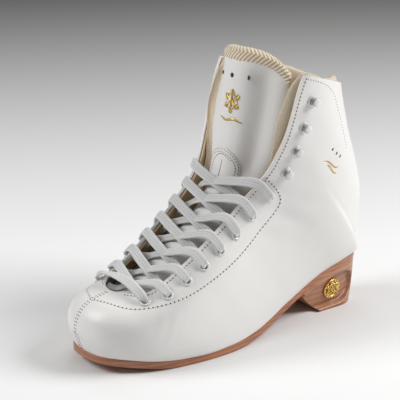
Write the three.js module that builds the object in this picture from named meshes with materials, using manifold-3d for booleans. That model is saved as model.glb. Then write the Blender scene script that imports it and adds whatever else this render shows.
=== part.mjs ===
// A woman's left figure-skating boot, laced, without its blade. Millimetres, +X towards the toe,
// +Y to the outer side of the foot, +Z up; the origin is on the heel's flat underside, on its centre
// line and 29 mm in front of its back edge.
import * as THREE from "three";
import Module from "manifold-3d";

// ---- Driving dimensions ----
const BOOT_LENGTH = 262; // toe tip to heel back
const BOOT_WIDTH = 93; // across the ball of the foot
const BOOT_HEIGHT = 222; // ground to the tongue's top
const SOLE = 5.1; // leather outsole
const LEATHER = 2.4; // outer upper leather
const MIDDLE = 1.6; // counter, toe puff and facing leather
const LINING = 1.1;
const FOAM = 3.2; // ankle padding
const BOARD = 1.8; // insole board
const SHANK = 1.1; // steel shank and cork filler under the board
const FOOTBED = 2.7;
const FIT = 0.3; // clearance between pieces that touch
const TONGUE_FOAM = 5;
const TONGUE_SKIN = 1.2;
const LACE_WIDTH = 7;
const LACE_THICK = 1.5;
const EYELETS = 8; // rows of eyelets
const HOOKS = 4; // rows of speed hooks above them
const EYELET_BORE = 2.3;
const EYELET_FLANGE = 4.1;
const SEGMENTS = 8; // sides of the round fittings
const HOOK_WIDTH = 7;
const HOOK_RISE = 5.2;
const THROAT_INSET = 11; // eyelet centre behind the facing's edge, lowest row
const EDGE_INSET = 15; // the same, top row and hooks
const HEEL_SCOOP = 4.5; // depth of the hollow in the heel's sides
const STRIP_PROUD = 2.4; // the collar padding stands past the facing's edge
const WELT = 0.8; // the sole stands out past the upper
const NAIL = 1.5; // heel nail radius
const TONGUE_FLEX = 8.25; // the tongue bends forward at this station

const LONG = BOOT_LENGTH / 262;
const WIDE = BOOT_WIDTH / 93;
const TALL = BOOT_HEIGHT / 222;

// ---- The last: sections from toe tip to collar ----
// Each: front point x z, half opening between the facings, rear point x z, widest half widths
// (outer, inner), half widths at the sole edge (outer, inner), height share of the widest point,
// squareness of the upper quarter, centre line y.
const SECTIONS = [
  [225, 27, 0, 219.5, 12.4, 0, 0, 0, 0, 0.42, 2.2, -6],
  [224, 34, 0, 217.5, 12.1, 19, 15.5, 17, 14, 0.42, 2.3, -6],
  [218.5, 43.5, 0, 210.5, 11.4, 30.5, 25.5, 28, 23, 0.42, 2.4, -5.7],
  [208.5, 49.5, 0, 199, 9.8, 39.5, 34, 35.5, 30, 0.42, 2.5, -5],
  [195, 53, 0, 183, 7.5, 45.5, 40.5, 42, 36, 0.43, 2.6, -3.5],
  [174, 58.5, 27.5, 160, 5, 48, 44, 44.5, 39, 0.45, 3, -1.5],
  [152.5, 72, 30, 134, 5, 47.5, 44, 45.5, 37, 0.46, 3.3, -0.5],
  [131, 88, 32.5, 106, 6.4, 45, 42.5, 42.5, 32, 0.46, 3.5, 0],
  [114, 101.5, 34, 78, 12.5, 42, 41, 36.5, 28, 0.47, 3.6, 0],
  [101.5, 112.5, 35.5, 50, 23.5, 40.5, 40, 31.5, 26.5, 0.5, 3.7, 0],
  [91.5, 123.5, 38.5, 24, 34.5, 42, 42, 30, 27.5, 0.54, 3.7, 0],
  [84, 134, 43, 1, 41.5, 45.5, 45.5, 29.5, 28, 0.58, 3.6, 0],
  [78.5, 145, 46, -16, 44, 48.2, 48.2, 25.5, 24.5, 0.61, 3.5, 0],
  [74, 155.5, 48.3, -27, 44.5, 50.2, 50.2, 15.5, 15, 0.64, 3.4, 0],
  [70.4, 166, 49.8, -31.5, 44.5, 51.6, 51.6, 0, 0, 0.66, 3.3, 0],
  [67.2, 175.5, 50.4, -36, 59, 52.4, 52.4, 0, 0, 0.67, 3.2, 0],
  [64.5, 184.5, 50.6, -37, 86, 52.8, 52.8, 0, 0, 0.68, 3.1, 0],
  [61.8, 192.5, 50.6, -28, 118, 53, 53, 0, 0, 0.69, 3, 0],
  [59.3, 198.5, 50.5, -17, 152, 53, 53, 0, 0, 0.7, 3, 0],
  [57, 203.5, 50.3, -9.5, 184, 53, 53, 0, 0, 0.71, 3, 0],
];
const TIP = 0;
const THROAT = 4; // the facings part here
const SEAT_BACK = 14; // from here up the halves meet down the back
const RIM = SECTIONS.length - 1;
const EYELET_FIRST = 4.42;
const EYELET_LAST = 10.1;
const HOOK_FIRST = 11.7;
const HOOK_LAST = 17;

// Tongue: centre line of its outer face x z, half width, and how far its sides curve back.
const TONGUE = [
  [204, 41, 20, 5],
  [189, 44.5, 26, 8],
  [174.3, 51, 31, 11],
  [155, 62.6, 33, 14],
  [133.8, 79, 33, 16],
  [115.6, 93.8, 31.5, 17],
  [103.4, 109, 31, 18],
  [96.6, 125, 33, 19.5],
  [92.5, 142, 36.4, 20.5],
  [89, 160, 38.4, 22],
  [85.5, 180, 39.5, 23],
  [82.5, 200, 40.1, 23.5],
  [80, 217, 40.8, 23.5],
];

const sizeOf = [
  [0, LONG], [1, TALL], [2, WIDE], [3, LONG], [4, TALL], [5, WIDE],
  [6, WIDE], [7, WIDE], [8, WIDE], [11, WIDE],
];
for (const row of SECTIONS) for (const [column, scale] of sizeOf) row[column] *= scale;
for (const row of TONGUE) {
  row[0] *= LONG;
  row[1] *= TALL;
  row[2] *= WIDE;
  row[3] *= LONG;
}

// ---- Splines ----
const clamp = (x, lo, hi) => Math.min(hi, Math.max(lo, x));
const mix = (a, b, t) => a + (b - a) * t;
const smooth = (t) => t * t * (3 - 2 * t);

// Cubic spline through values one step apart; `flat` starts it with no slope.
function spline(values, flat) {
  const n = values.length;
  const bend = new Array(n).fill(0);
  const lower = new Array(n).fill(0);
  const rest = new Array(n).fill(0);
  if (flat) {
    lower[0] = 0.5;
    rest[0] = 3 * (values[1] - values[0]);
  }
  for (let i = 1; i < n - 1; i++) {
    const pivot = 4 - lower[i - 1];
    lower[i] = 1 / pivot;
    const curve = 6 * (values[i + 1] - 2 * values[i] + values[i - 1]);
    rest[i] = (curve - rest[i - 1]) / pivot;
  }
  for (let i = n - 2; i >= 0; i--) bend[i] = rest[i] - lower[i] * bend[i + 1];
  return (u) => {
    const i = clamp(Math.floor(u), 0, n - 2);
    const t = u - i;
    const s = 1 - t;
    return s * values[i] + t * values[i + 1] +
      ((s ** 3 - s) * bend[i] + (t ** 3 - t) * bend[i + 1]) / 6;
  };
}

// The rounded front centre that a section would have if the facings met.
const crown = SECTIONS.map(([x, z, gap, rx, rz, wideOut, wideIn, , , share, square]) => {
  const open = gap / Math.min(wideOut, wideIn || 1);
  const rise = gap ? (1 - open ** square) ** (1 / square) : 1;
  const reach = 1 / (share + (1 - share) * rise);
  return [mix(rx, x, reach), mix(rz, z, reach)];
});
const column = (k, flat) => spline(SECTIONS.map((row) => row[k]), flat);
const crownX = spline(crown.map((p) => p[0]), true);
const crownZ = spline(crown.map((p) => p[1]), true);
const gapOf = spline([0, 0, 0, 0, 0].map((_, i) => SECTIONS[5][2] * (0.9 + 0.02 * i))
  .concat(SECTIONS.slice(5).map((row) => row[2])), false);
const rearX = column(3, true);
const rearZ = column(4, true);
const wide = { 1: column(5, false), [-1]: column(6, false) };
const edge = { 1: column(7, false), [-1]: column(8, false) };
const shareOf = column(9, true);
const squareOf = column(10, true);
const middleY = column(11, true);

// Half opening between the facings: a rounded throat, then the widening gap.
function opening(u) {
  if (u <= THROAT) return 0;
  return gapOf(u) * Math.sin((Math.PI / 2) * clamp((u - THROAT) / 0.9, 0, 1)) ** 0.6;
}

// Point of the outer surface. `a` runs 0 at the front centre, 1 at the widest, 2 at the rear.
function surface(side, u, a) {
  const w = Math.max(0, wide[side](u));
  const e = u >= SEAT_BACK ? 0 : clamp(edge[side](u), 0, w);
  const share = shareOf(u);
  let across, along;
  if (a <= 1) {
    const n = squareOf(u);
    const s = Math.sin((a * Math.PI) / 2);
    const c = Math.cos((a * Math.PI) / 2);
    const r = (Math.abs(s) ** n + Math.abs(c) ** n) ** (-1 / n);
    across = w * r * s;
    along = share + (1 - share) * r * c;
  } else {
    const s = Math.sin(((a - 1) * Math.PI) / 2);
    const c = Math.max(0, Math.cos(((a - 1) * Math.PI) / 2));
    const taper = e > 0 ? 1 : 1.15;
    across = e + (w - e) * c ** taper;
    along = share * (1 - s);
  }
  return new THREE.Vector3(
    mix(rearX(u), crownX(u), along),
    middleY(u) + side * across,
    mix(rearZ(u), crownZ(u), along),
  );
}

function normal(side, u, a) {
  const step = 0.02;
  const uu = clamp(u, TIP + 2 * step, RIM - step);
  const aa = clamp(a, 2 * step, 2 - 2 * step);
  const du = surface(side, uu + step, aa).sub(surface(side, uu - step, aa));
  const da = surface(side, uu, aa + step).sub(surface(side, uu, aa - step));
  return da.cross(du).multiplyScalar(side).normalize();
}

// Point at a depth under the outer surface, kept on its own side of the centre seam.
function under(side, u, a, depth) {
  const p = surface(side, u, a).addScaledVector(normal(side, u, a), -depth);
  const centre = middleY(u);
  if ((p.y - centre) * side < FIT / 2) p.y = centre + (side * FIT) / 2;
  return p;
}

// Where along a section the facing's edge lies, `more` millimetres further round.
function facing(side, u, more = 0) {
  const half = clamp(opening(u) + more, 0, wide[side](u) * 0.995);
  if (half <= 0) return 0;
  const open = half / wide[side](u);
  const n = squareOf(u);
  return (Math.atan2(open, (1 - open ** n) ** (1 / n)) * 2) / Math.PI;
}

// Walks round the section from the facing's edge by a surface distance.
function inset(side, u, distance) {
  let a = facing(side, u);
  let left = distance;
  let p = surface(side, u, a);
  while (left > 0 && a < 2) {
    const q = surface(side, u, a + 0.01);
    left -= q.distanceTo(p);
    p = q;
    a += 0.01;
  }
  return a;
}

// ---- Mesh builders ----
// Closes two matching grids of points (outer and inner) into one body facing out.
function shell(outer, inner) {
  const rows = outer.length;
  const cols = outer[0].length;
  const points = [];
  for (const grid of [outer, inner]) for (const row of grid) for (const p of row) points.push(p);
  const at = (layer, i, j) => layer * rows * cols + i * cols + j;
  const faces = [];
  const quad = (a, b, c, d) => faces.push(a, b, c, a, c, d);
  for (let i = 0; i < rows - 1; i++)
    for (let j = 0; j < cols - 1; j++) {
      quad(at(0, i, j), at(0, i, j + 1), at(0, i + 1, j + 1), at(0, i + 1, j));
      quad(at(1, i, j), at(1, i + 1, j), at(1, i + 1, j + 1), at(1, i, j + 1));
    }
  for (let j = 0; j < cols - 1; j++) {
    quad(at(0, 0, j), at(1, 0, j), at(1, 0, j + 1), at(0, 0, j + 1));
    quad(at(0, rows - 1, j), at(0, rows - 1, j + 1), at(1, rows - 1, j + 1), at(1, rows - 1, j));
  }
  for (let i = 0; i < rows - 1; i++) {
    quad(at(0, i, 0), at(0, i + 1, 0), at(1, i + 1, 0), at(1, i, 0));
    quad(at(0, i, cols - 1), at(1, i, cols - 1), at(1, i + 1, cols - 1), at(0, i + 1, cols - 1));
  }
  return bodyOf(points, faces);
}

// Geometry from points and triangles, turned to face out.
function bodyOf(points, faces) {
  let volume = 0;
  for (let i = 0; i < faces.length; i += 3) {
    const [a, b, c] = [points[faces[i]], points[faces[i + 1]], points[faces[i + 2]]];
    volume += a.dot(b.clone().cross(c));
  }
  if (volume < 0)
    for (let i = 0; i < faces.length; i += 3)
      [faces[i + 1], faces[i + 2]] = [faces[i + 2], faces[i + 1]];
  const geometry = new THREE.BufferGeometry().setFromPoints(points);
  geometry.setIndex(faces);
  return geometry;
}

// A tube of matching closed rings with flat ends.
function tube(rings) {
  const n = rings[0].length;
  const points = rings.flat();
  const faces = [];
  for (let i = 0; i < rings.length - 1; i++)
    for (let j = 0; j < n; j++) {
      const k = (j + 1) % n;
      const [a, b, c, d] = [i * n + j, i * n + k, (i + 1) * n + k, (i + 1) * n + j];
      faces.push(a, b, c, a, c, d);
    }
  const last = (rings.length - 1) * n;
  for (let j = 1; j < n - 1; j++) {
    faces.push(0, j + 1, j);
    faces.push(last, last + j, last + j + 1);
  }
  return bodyOf(points, faces);
}

const steps = (from, to, count) =>
  Array.from({ length: count + 1 }, (_, i) => mix(from, to, i / count));

// A layer of the upper between two depths, over a patch of the surface; its columns crowd towards
// the front, where the surface bends most.
function layer(side, stations, from, to, count, outside, inside, crowd = 1) {
  const columns = (u) => steps(0, 1, count).map((t) => mix(from(u), to(u), t ** crowd));
  const grid = (depth) =>
    stations.map((u) => columns(u).map((a) => under(side, u, a, depth(u, a))));
  return shell(grid(outside), grid(inside));
}

const wasm = await Module();
wasm.setup();
function solid(geometry) {
  return new wasm.Manifold(new wasm.Mesh({
    numProp: 3,
    vertProperties: new Float32Array(geometry.attributes.position.array),
    triVerts: new Uint32Array(geometry.index.array),
  }));
}
function geometryOf(made) {
  const mesh = made.getMesh();
  const geometry = new THREE.BufferGeometry();
  geometry.setAttribute("position", new THREE.BufferAttribute(mesh.vertProperties, 3));
  geometry.setIndex(new THREE.BufferAttribute(mesh.triVerts, 1));
  return geometry;
}

const boot = new THREE.Group();
function add(name, geometry, colour) {
  const material = new THREE.MeshStandardMaterial({ color: colour, roughness: 0.6 });
  material.side = THREE.DoubleSide;
  const mesh = new THREE.Mesh(geometry, material);
  mesh.geometry.computeVertexNormals();
  mesh.name = name;
  boot.add(mesh);
}

const WHITE = 0xe9e7e2;
const BEIGE = 0xdcc6a6;
const TAN = 0x96713f;
const COPPER = 0xa86c4c;
const GOLD = 0xc9a13b;
const SIDES = [[1, "lateral"], [-1, "medial"]];

// ---- Fastening places ----
const rowAt = (first, last, count, k) => mix(first, last, k / (count - 1));
// Rows are spaced evenly along the facing's edge.
function evenRows(side, first, last, count) {
  const marks = steps(first, last, 120);
  const run = [0];
  for (let i = 1; i < marks.length; i++) {
    const p = surface(side, marks[i - 1], facing(side, marks[i - 1]));
    const q = surface(side, marks[i], facing(side, marks[i]));
    run.push(run[i - 1] + p.distanceTo(q));
  }
  return Array.from({ length: count }, (_, k) => {
    const wanted = rowAt(0, run[120], count, k);
    const i = clamp(run.findIndex((r) => r >= wanted - 1e-9), 1, 120);
    return mix(marks[i - 1], marks[i], (wanted - run[i - 1]) / (run[i] - run[i - 1]));
  });
}
function fastening(side, u, distance) {
  const a = inset(side, u, distance);
  const at = surface(side, u, a);
  const out = normal(side, u, a);
  const edgeward = surface(side, u, a - 0.02).sub(at);
  edgeward.addScaledVector(out, -edgeward.dot(out)).normalize();
  const along = new THREE.Vector3().crossVectors(out, edgeward);
  return { at, out, edgeward, along };
}
const eyelets = {};
const hooks = {};
for (const [side] of SIDES) {
  eyelets[side] = evenRows(side, EYELET_FIRST, EYELET_LAST, EYELETS)
    .map((u, k) => ({ u, ...fastening(side, u, rowAt(THROAT_INSET, EDGE_INSET, EYELETS, k)) }));
  hooks[side] = evenRows(side, HOOK_FIRST, HOOK_LAST, HOOKS)
    .map((u) => fastening(side, u, EDGE_INSET));
}

// ---- Outer leather halves, with bores for the eyelets and hooks ----
const inToeGap = (u) => (u < THROAT ? 0 : null);
const frontEdge = (side) => (u) => inToeGap(u) ?? facing(side, u);
const BODY = [0, 0.3, 0.65, 1.1, 1.6, 2.1, 2.7, 3.3, 3.8, 4, 4.1, 4.25, 4.45, 4.7, 5, 5.5, 6.1,
  6.8, 7.5, 8.2, 8.9, 9.6, 10.3, 11, 11.8, 12.6, 13.2, 13.6, 14, 14.5, 15.2, 16, 16.6, 17.3, 18.1, 19];

// A round bar through the wall at a fastening, used as a cutter or a pin.
function pin({ at, out }, radius, from, to, segments) {
  const bar = new THREE.CylinderGeometry(radius, radius, to - from, segments).toNonIndexed();
  const turn = new THREE.Quaternion().setFromUnitVectors(new THREE.Vector3(0, 1, 0), out);
  bar.translate(0, (from + to) / 2, 0).applyQuaternion(turn);
  bar.translate(at.x, at.y, at.z);
  return welded(bar);
}
// The same geometry with its repeated corners joined.
function welded(geometry) {
  const position = geometry.attributes.position;
  const seen = new Map();
  const points = [];
  const faces = [];
  for (let i = 0; i < position.count; i++) {
    const p = new THREE.Vector3().fromBufferAttribute(position, i);
    const key = p.toArray().map((x) => Math.round(x * 2000)).join();
    if (!seen.has(key)) seen.set(key, points.push(p) - 1);
    faces.push(seen.get(key));
  }
  const kept = [];
  for (let i = 0; i < faces.length; i += 3)
    if (faces[i] !== faces[i + 1] && faces[i + 1] !== faces[i + 2] && faces[i] !== faces[i + 2])
      kept.push(faces[i], faces[i + 1], faces[i + 2]);
  return bodyOf(points, kept);
}

function bored(side, geometry) {
  let made = solid(geometry);
  const cutters = eyelets[side].map((e) => pin(e, EYELET_BORE + 0.95, -9, 4, SEGMENTS));
  cutters.push(...hooks[side].map((h) => pin(h, 1.9, -9, 4, 6)));
  for (const cutter of cutters) made = made.subtract(solid(cutter));
  return geometryOf(made);
}

const zero = () => 0;
const two = () => 2;
const flatDepth = (d) => () => d;
for (const [side, word] of SIDES) {
  const leather = layer(side, BODY, frontEdge(side), two, 10, zero, flatDepth(LEATHER), 1.3);
  add("upper_" + word, bored(side, leather), WHITE);
}

// ---- Stiffeners, facings, padding and lining inside the leather ----
const MID_OUT = LEATHER + 3 * FIT; // curved layers need more than touching pieces do
const MID_IN = MID_OUT + MIDDLE;
const LINING_OUT = MID_IN + FIT;
const LINING_IN = LINING_OUT + LINING;
// The layers stop above the insole board: the wall's height grows with the square of 2 - a here.
const WALL_END = 2 - 0.42 * Math.sqrt((3 * FIT + SHANK + BOARD) / (3.8 * TALL));
const wallEnd = (u) => mix(WALL_END, 2, smooth(clamp((u - SEAT_BACK) / 1.2, 0, 1)));

// Toe puff: one cap round the toe under the leather.
function wrapped(stations, start, stop, count, outside, inside) {
  const half = (side, depth) => {
    const rows = stations.map((u) =>
      steps(start(u), stop(u), count).map((a) => under(side, u, a, depth(u, a))));
    return rows;
  };
  const join = (depth) => {
    const left = half(1, depth);
    const right = half(-1, depth);
    return left.map((row, i) => [...[...row].reverse(), ...right[i]]);
  };
  return shell(join(outside), join(inside));
}
const TOE = [0.12, 0.4, 0.8, 1.3, 1.9, 2.5, 3];
const toeEnd = () => WALL_END - 0.1;
add("toe_puff", wrapped(TOE, zero, toeEnd, 7, flatDepth(MID_OUT), flatDepth(MID_IN)), TAN);
const TOE_LINED = [0.12, 0.4, 0.8, 1.3, 1.9, 2.5, 3.1, 3.75];
add("vamp_lining",
  wrapped(TOE_LINED, zero, toeEnd, 7, flatDepth(LINING_OUT), flatDepth(LINING_IN)), BEIGE);

// Heel counter: one stiff cup round the back, joined across the centre.
function cup(stations, start, stop, count, outside, inside) {
  const rows = (side, depth) => stations.map((u) =>
    steps(start(u), stop(u), count).map((a) => under(side, u, a, depth(u, a))));
  const join = (depth) => {
    const left = rows(1, depth);
    const right = rows(-1, depth);
    return left.map((row, i) => [...row, ...[...right[i]].reverse()]);
  };
  return shell(join(outside), join(inside));
}
const CUP = [14.8, 15.2, 16, 16.6];
add("heel_counter",
  cup(CUP, (u) => mix(1.1, 1.35, (u - 15) / 1.5), two, 10, flatDepth(MID_OUT), flatDepth(MID_IN)),
  0xb9a58a);

for (const [side, word] of SIDES) {
  // Facing: tan leather behind the eyelets and hooks.
  const FACED = BODY.filter((u) => u >= 5);
  const rows = (distance) => (u) => inset(side, u, distance);
  const start = (u) => facing(side, Math.max(u, 5.02)) + 0.004;
  const strip = layer(side, FACED, start, rows(23), 3, flatDepth(MID_OUT), flatDepth(MID_IN));
  add("facing_" + word, bored(side, strip), TAN);

  // Textile lining from waist to collar, standing proud of the leather between the facings.
  const LINED = [3.95, 4.6, 5.4, 6.2, 7, 7.8, 8.6, 9.4, 10.2, 11, 11.8, 12.6, 13.4, 14, 14.6, 15.2,
    15.8, 16.6, 17.4, 18.2, 19];
  const lined = (u) => inset(side, Math.max(u, 5.02), mix(25, 24, u / RIM));
  const PAD_FIRST = 12;
  const puff = (u, a) => {
    const top = smooth(clamp((u - PAD_FIRST) / 2, 0, 1));
    const from = lined(u);
    const round = Math.sin(Math.PI * clamp((a - from - 0.1) / (2.1 - from), 0, 1)) ** 0.5;
    return FOAM * top * round;
  };
  add("lining_" + word,
    layer(side, LINED, lined, wallEnd, 8,
      (u, a) => LINING_OUT + puff(u, a), (u, a) => LINING_IN + puff(u, a)), BEIGE);

  // Padded collar strip: foam along the facing's inner face, lining wrapped over its front.
  const STRIP = [11.4, 12, 12.8, 13.6, 14.4, 15.2, 16, 16.8, 17.6, 18.4, 19];
  const stripStart = (u) => facing(side, u, -STRIP_PROUD * smooth(clamp((u - 11.2) / 1.5, 0, 1)));
  const stripEnd = (u) => inset(side, u, 21);
  add("collar_lining_" + word,
    layer(side, STRIP, stripStart, stripEnd, 4, flatDepth(LINING_OUT), (u, a) => LINING_IN + 2),
    BEIGE);

  // Ankle padding between the leather and the lining.
  const PADDED = [12.6, 13.4, 14.2, 15, 16.6, 17.4, 18.2, 18.9];
  const padOut = (u) => (u < 16.9 && u > 14.9 ? LINING_OUT : MID_OUT);
  add("ankle_foam_" + word,
    layer(side, PADDED, (u) => lined(u) + 0.03, () => 1.06, 4, flatDepth(MID_OUT),
      (u, a) => Math.max(MID_OUT + 0.6, MID_IN + puff(u, a) - 0.05)), 0xe8e2c8);
}


// ---- Sole and insole ----
// The sole's outline in plan, moved in by `d` along its own normal.
function plan(side, u, d) {
  const h = 0.02;
  const [lo, hi] = [Math.max(u - h, 0.005), Math.min(u + h, SEAT_BACK - 0.005)];
  const half = (v) => Math.max(0, v >= SEAT_BACK ? 0 : edge[side](v));
  const dx = rearX(hi) - rearX(lo);
  const dy = half(hi) - half(lo);
  const run = Math.hypot(dx, dy);
  const centre = middleY(u);
  return [
    rearX(u) - (dy / run) * d,
    centre + side * Math.max(0.4, half(u) + (dx / run) * d),
  ];
}
// Height of the sole edge at any x, and the sole's two faces there.
function seat(x) {
  let u = 0;
  for (let step = 4; step > 0.0005; step /= 2)
    while (u + step <= SEAT_BACK && rearX(u + step) >= x) u += step;
  return rearZ(u);
}
const soleTop = (x) => seat(x) - FIT;
const soleFloor = (x) => Math.max(0, seat(x) - FIT - SOLE);
// A plate that follows the sole's outline, between two heights.
function plate(stations, d, low, high, columns) {
  const grid = (height) => stations.map((u) => {
    const [lx, ly] = plan(1, u, d);
    const [mx, my] = plan(-1, u, d);
    return steps(0, 1, columns).map((t) =>
      new THREE.Vector3(mix(lx, mx, t), mix(ly, my, t), height(mix(lx, mx, t))));
  });
  return shell(grid(high), grid(low));
}
const SOLE_STATIONS = [0, 0.25, 0.6, 1, 1.5, 2, 2.6, 3.3, 4, 4.7, 5.4, 6, 6.6, 7.2, 7.8, 8.4, 9, 9.6,
  10.2, 10.8, 11.4, 12, 12.6, 13.1, 13.5, 13.8, 14];
const within = (list, from, to) => list.filter((u) => u > from && u < to);
const boardLow = (x) => seat(x) + 3 * FIT + SHANK;
const boardHigh = (x) => boardLow(x) + BOARD;
const HEEL_FRONT = 9.45; // station of the heel's breast
const HEEL = { front: 14 * LONG, back: -29 * LONG, half: 24.5 * WIDE };
const nails = [[11.2, 11], [11.2, -11], [12.6, 9], [12.6, -9]].map(([u, y]) => [rearX(u), y * WIDE]);
function nail(x, y, from, to, radius, segments) {
  const place = { at: new THREE.Vector3(x, y, 0), out: new THREE.Vector3(0, 0, 1) };
  return pin(place, radius, from, to, segments);
}
function nailed(geometry) {
  let made = solid(geometry);
  for (const [x, y] of nails) made = made.subtract(solid(nail(x, y, 8, 80, NAIL + 0.4, 6)));
  return geometryOf(made);
}
add("outsole", nailed(plate(SOLE_STATIONS, -WELT, soleFloor, soleTop, 2)), COPPER);
const SOLE_INNER = within(SOLE_STATIONS, 0.9, 13.7);
add("insole_board", nailed(plate(SOLE_INNER, LEATHER + LINING + 4 * FIT, boardLow, boardHigh, 2)), 0xb99b74);
const BED = within(SOLE_STATIONS, 0.5, 13.6);
const bedLow = (x) => boardHigh(x) + 2 * FIT;
add("footbed", plate(BED, 7.5, bedLow, (x) => bedLow(x) + FOOTBED, 2), BEIGE);
const shankLow = (x) => seat(x) + FIT;
const shankHigh = (x) => seat(x) + FIT + SHANK;
add("cork_filler", plate(within(SOLE_STATIONS, 0.9, 6.7), 5, shankLow, shankHigh, 2), 0xa97e52);
const bar = (height) => steps(7, 10.7, 7).map((u) =>
  steps(-6.5 * WIDE, 6.5 * WIDE, 2).map((y) => new THREE.Vector3(rearX(u), y, height(rearX(u)))));
add("shank", shell(bar(shankHigh), bar(shankLow)), 0x8a8d90);

// ---- Heel: lofted from the sole down to its flat face, hollowed on both sides ----
const HEEL_STATIONS = [0, 0.12, 0.25, 0.38, 0.5, 0.6, 0.7, 0.8, 0.88, 0.94, 0.975, 1];
function heelSide(side, f, t) {
  const front = rearX(HEEL_FRONT);
  let u = HEEL_FRONT;
  const wanted = mix(front, rearX(SEAT_BACK), f);
  for (let step = 1; step > 0.001; step /= 2)
    while (u + step <= SEAT_BACK && rearX(u + step) >= wanted) u += step;
  const [, y] = plan(side, Math.min(u, SEAT_BACK - 0.001), -WELT);
  const top = new THREE.Vector3(wanted - (f > 0.999 ? WELT : 0), y, soleFloor(wanted) - 2 * FIT);
  const round = Math.sqrt(Math.max(0, 1 - clamp((f - 0.42) / 0.58, 0, 1) ** 2.3));
  const foot = new THREE.Vector3(
    mix(HEEL.front, HEEL.back, f), side * Math.max(0.9, HEEL.half * round), 0);
  const p = top.lerp(foot, t);
  p.x += 2.2 * Math.sin(Math.PI * t) * (1 - 1.6 * f);
  const reach = f < 0.45 ? 0.45 * (f - 0.45) : (f - 0.45) / 0.42;
  const hollow = reach ** 2 + ((t - 0.5) / 0.42) ** 2;
  const depth = HEEL_SCOOP * (1 - smooth(clamp((hollow - 0.45) / 0.55, 0, 1)));
  p.y -= side * Math.min(depth, Math.abs(p.y) - 0.8);
  return p;
}
const HEEL_ROWS = [0, 0.09, 0.2, 0.32, 0.5, 0.68, 0.8, 0.91, 1];
const heelRing = (f) => {
  const across = (t) => steps(0, 1, 4).slice(1, -1).map((k) =>
    heelSide(1, f, t).lerp(heelSide(-1, f, t), k));
  return [
    ...HEEL_ROWS.map((t) => heelSide(1, f, t)), ...across(1),
    ...[...HEEL_ROWS].reverse().map((t) => heelSide(-1, f, t)), ...across(0).reverse(),
  ];
};
add("heel_block", nailed(tube(HEEL_STATIONS.map(heelRing))), COPPER);
nails.forEach(([x, y], i) =>
  add("heel_nail_" + (i + 1), nail(x, y, 9, boardHigh(x) - 0.2, NAIL, SEGMENTS), 0x9a9da0));
// A round badge sits in each hollow.
for (const [side, word] of SIDES) {
  const at = heelSide(side, 0.44, 0.5);
  const along = heelSide(side, 0.5, 0.5).sub(heelSide(side, 0.38, 0.5));
  const down = heelSide(side, 0.44, 0.56).sub(heelSide(side, 0.44, 0.44));
  const out = along.cross(down).normalize();
  if (out.y * side < 0) out.negate();
  add("heel_badge_" + word, pin({ at, out }, 7.5, 0.7, 1.9, 16), GOLD);
}

// ---- Tongue ----
const tongueX = spline(TONGUE.map((row) => row[0]), false);
const tongueZ = spline(TONGUE.map((row) => row[1]), false);
const tongueHalf = spline(TONGUE.map((row) => row[2]), false);
const tongueSag = spline(TONGUE.map((row) => row[3]), false);
const tongueY = (t) => -4 * WIDE * clamp(1 - t / 5, 0, 1);
function tongueFace(t, k, depth) {
  const h = 0.02;
  const back = new THREE.Vector3(
    -(tongueZ(t + h) - tongueZ(t - h)), 0, tongueX(t + h) - tongueX(t - h)).normalize();
  const half = tongueHalf(t);
  const sag = tongueSag(t);
  const slope = (2 * sag * k) / half;
  const inward = back.clone().add(new THREE.Vector3(0, -slope, 0)).normalize();
  return new THREE.Vector3(tongueX(t), tongueY(t) + k * half, tongueZ(t))
    .addScaledVector(back, sag * k * k)
    .addScaledVector(inward, depth);
}
const TONGUE_TOP = TONGUE.length - 1;
const TONGUE_DROP = 0.85; // the top edge falls this many stations towards its corners
const topEdge = (k) => TONGUE_TOP - TONGUE_DROP * k ** 4;
function tongueLayer(from, to, rows, columns, reach, low, high) {
  const grid = (depth) => steps(0, 1, rows).map((s) => steps(-reach, reach, columns).map((k) =>
    tongueFace(mix(from, to > TONGUE_TOP - 1 ? to - TONGUE_DROP * k ** 4 : to, s), k, depth)));
  return shell(grid(low), grid(high));
}
const FOAM_OUT = TONGUE_SKIN + FIT;
const FOAM_IN = FOAM_OUT + TONGUE_FOAM;
const gapT = 0.014;
const tongueParts = [
  ["", 0, TONGUE_FLEX - gapT, 12], ["_top", TONGUE_FLEX + gapT, TONGUE_TOP, 6],
];
for (const [suffix, from, to, rows] of tongueParts) {
  add("tongue_leather" + suffix, tongueLayer(from, to, rows, 10, 1, 0, TONGUE_SKIN), WHITE);
  add("tongue_foam" + suffix,
    tongueLayer(from, to - 0.02, rows, 8, 0.93, FOAM_OUT, FOAM_IN), 0xefe9d2);
  add("tongue_lining" + suffix,
    tongueLayer(from, to, rows, 8, 0.98, FOAM_IN + FIT, FOAM_IN + FIT + TONGUE_SKIN), BEIGE);
}
// Padded textile roll over the tongue's top edge.
const rollRing = (k) => {
  const front = tongueFace(topEdge(k), k, -0.2);
  const rear = tongueFace(topEdge(k), k, FOAM_IN + FIT + TONGUE_SKIN);
  const centre = front.clone().add(rear).multiplyScalar(0.5);
  const across = front.clone().sub(rear).multiplyScalar(0.5);
  const up = new THREE.Vector3(-0.12, 0, 1);
  return steps(0, 1, 6).map((s) => centre.clone()
    .addScaledVector(across, Math.cos(Math.PI * s))
    .addScaledVector(up, FIT + 5 * Math.sin(Math.PI * s) * (1 - 0.5 * k * k)));
};
add("tongue_roll", tube(steps(-1, 1, 12).map(rollRing)), BEIGE);
// Lace keeper: an oval patch stitched low on the tongue's face.
const keeper = (depth) => steps(-1, 1, 6).map((s) =>
  steps(-1, 1, 4).map((r) => tongueFace(
    7.15 + 0.85 * s, (r * 0.36 * Math.sqrt(1.04 - s * s)), depth)));
add("lace_keeper", shell(keeper(-1.5), keeper(-0.5)), WHITE);

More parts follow.
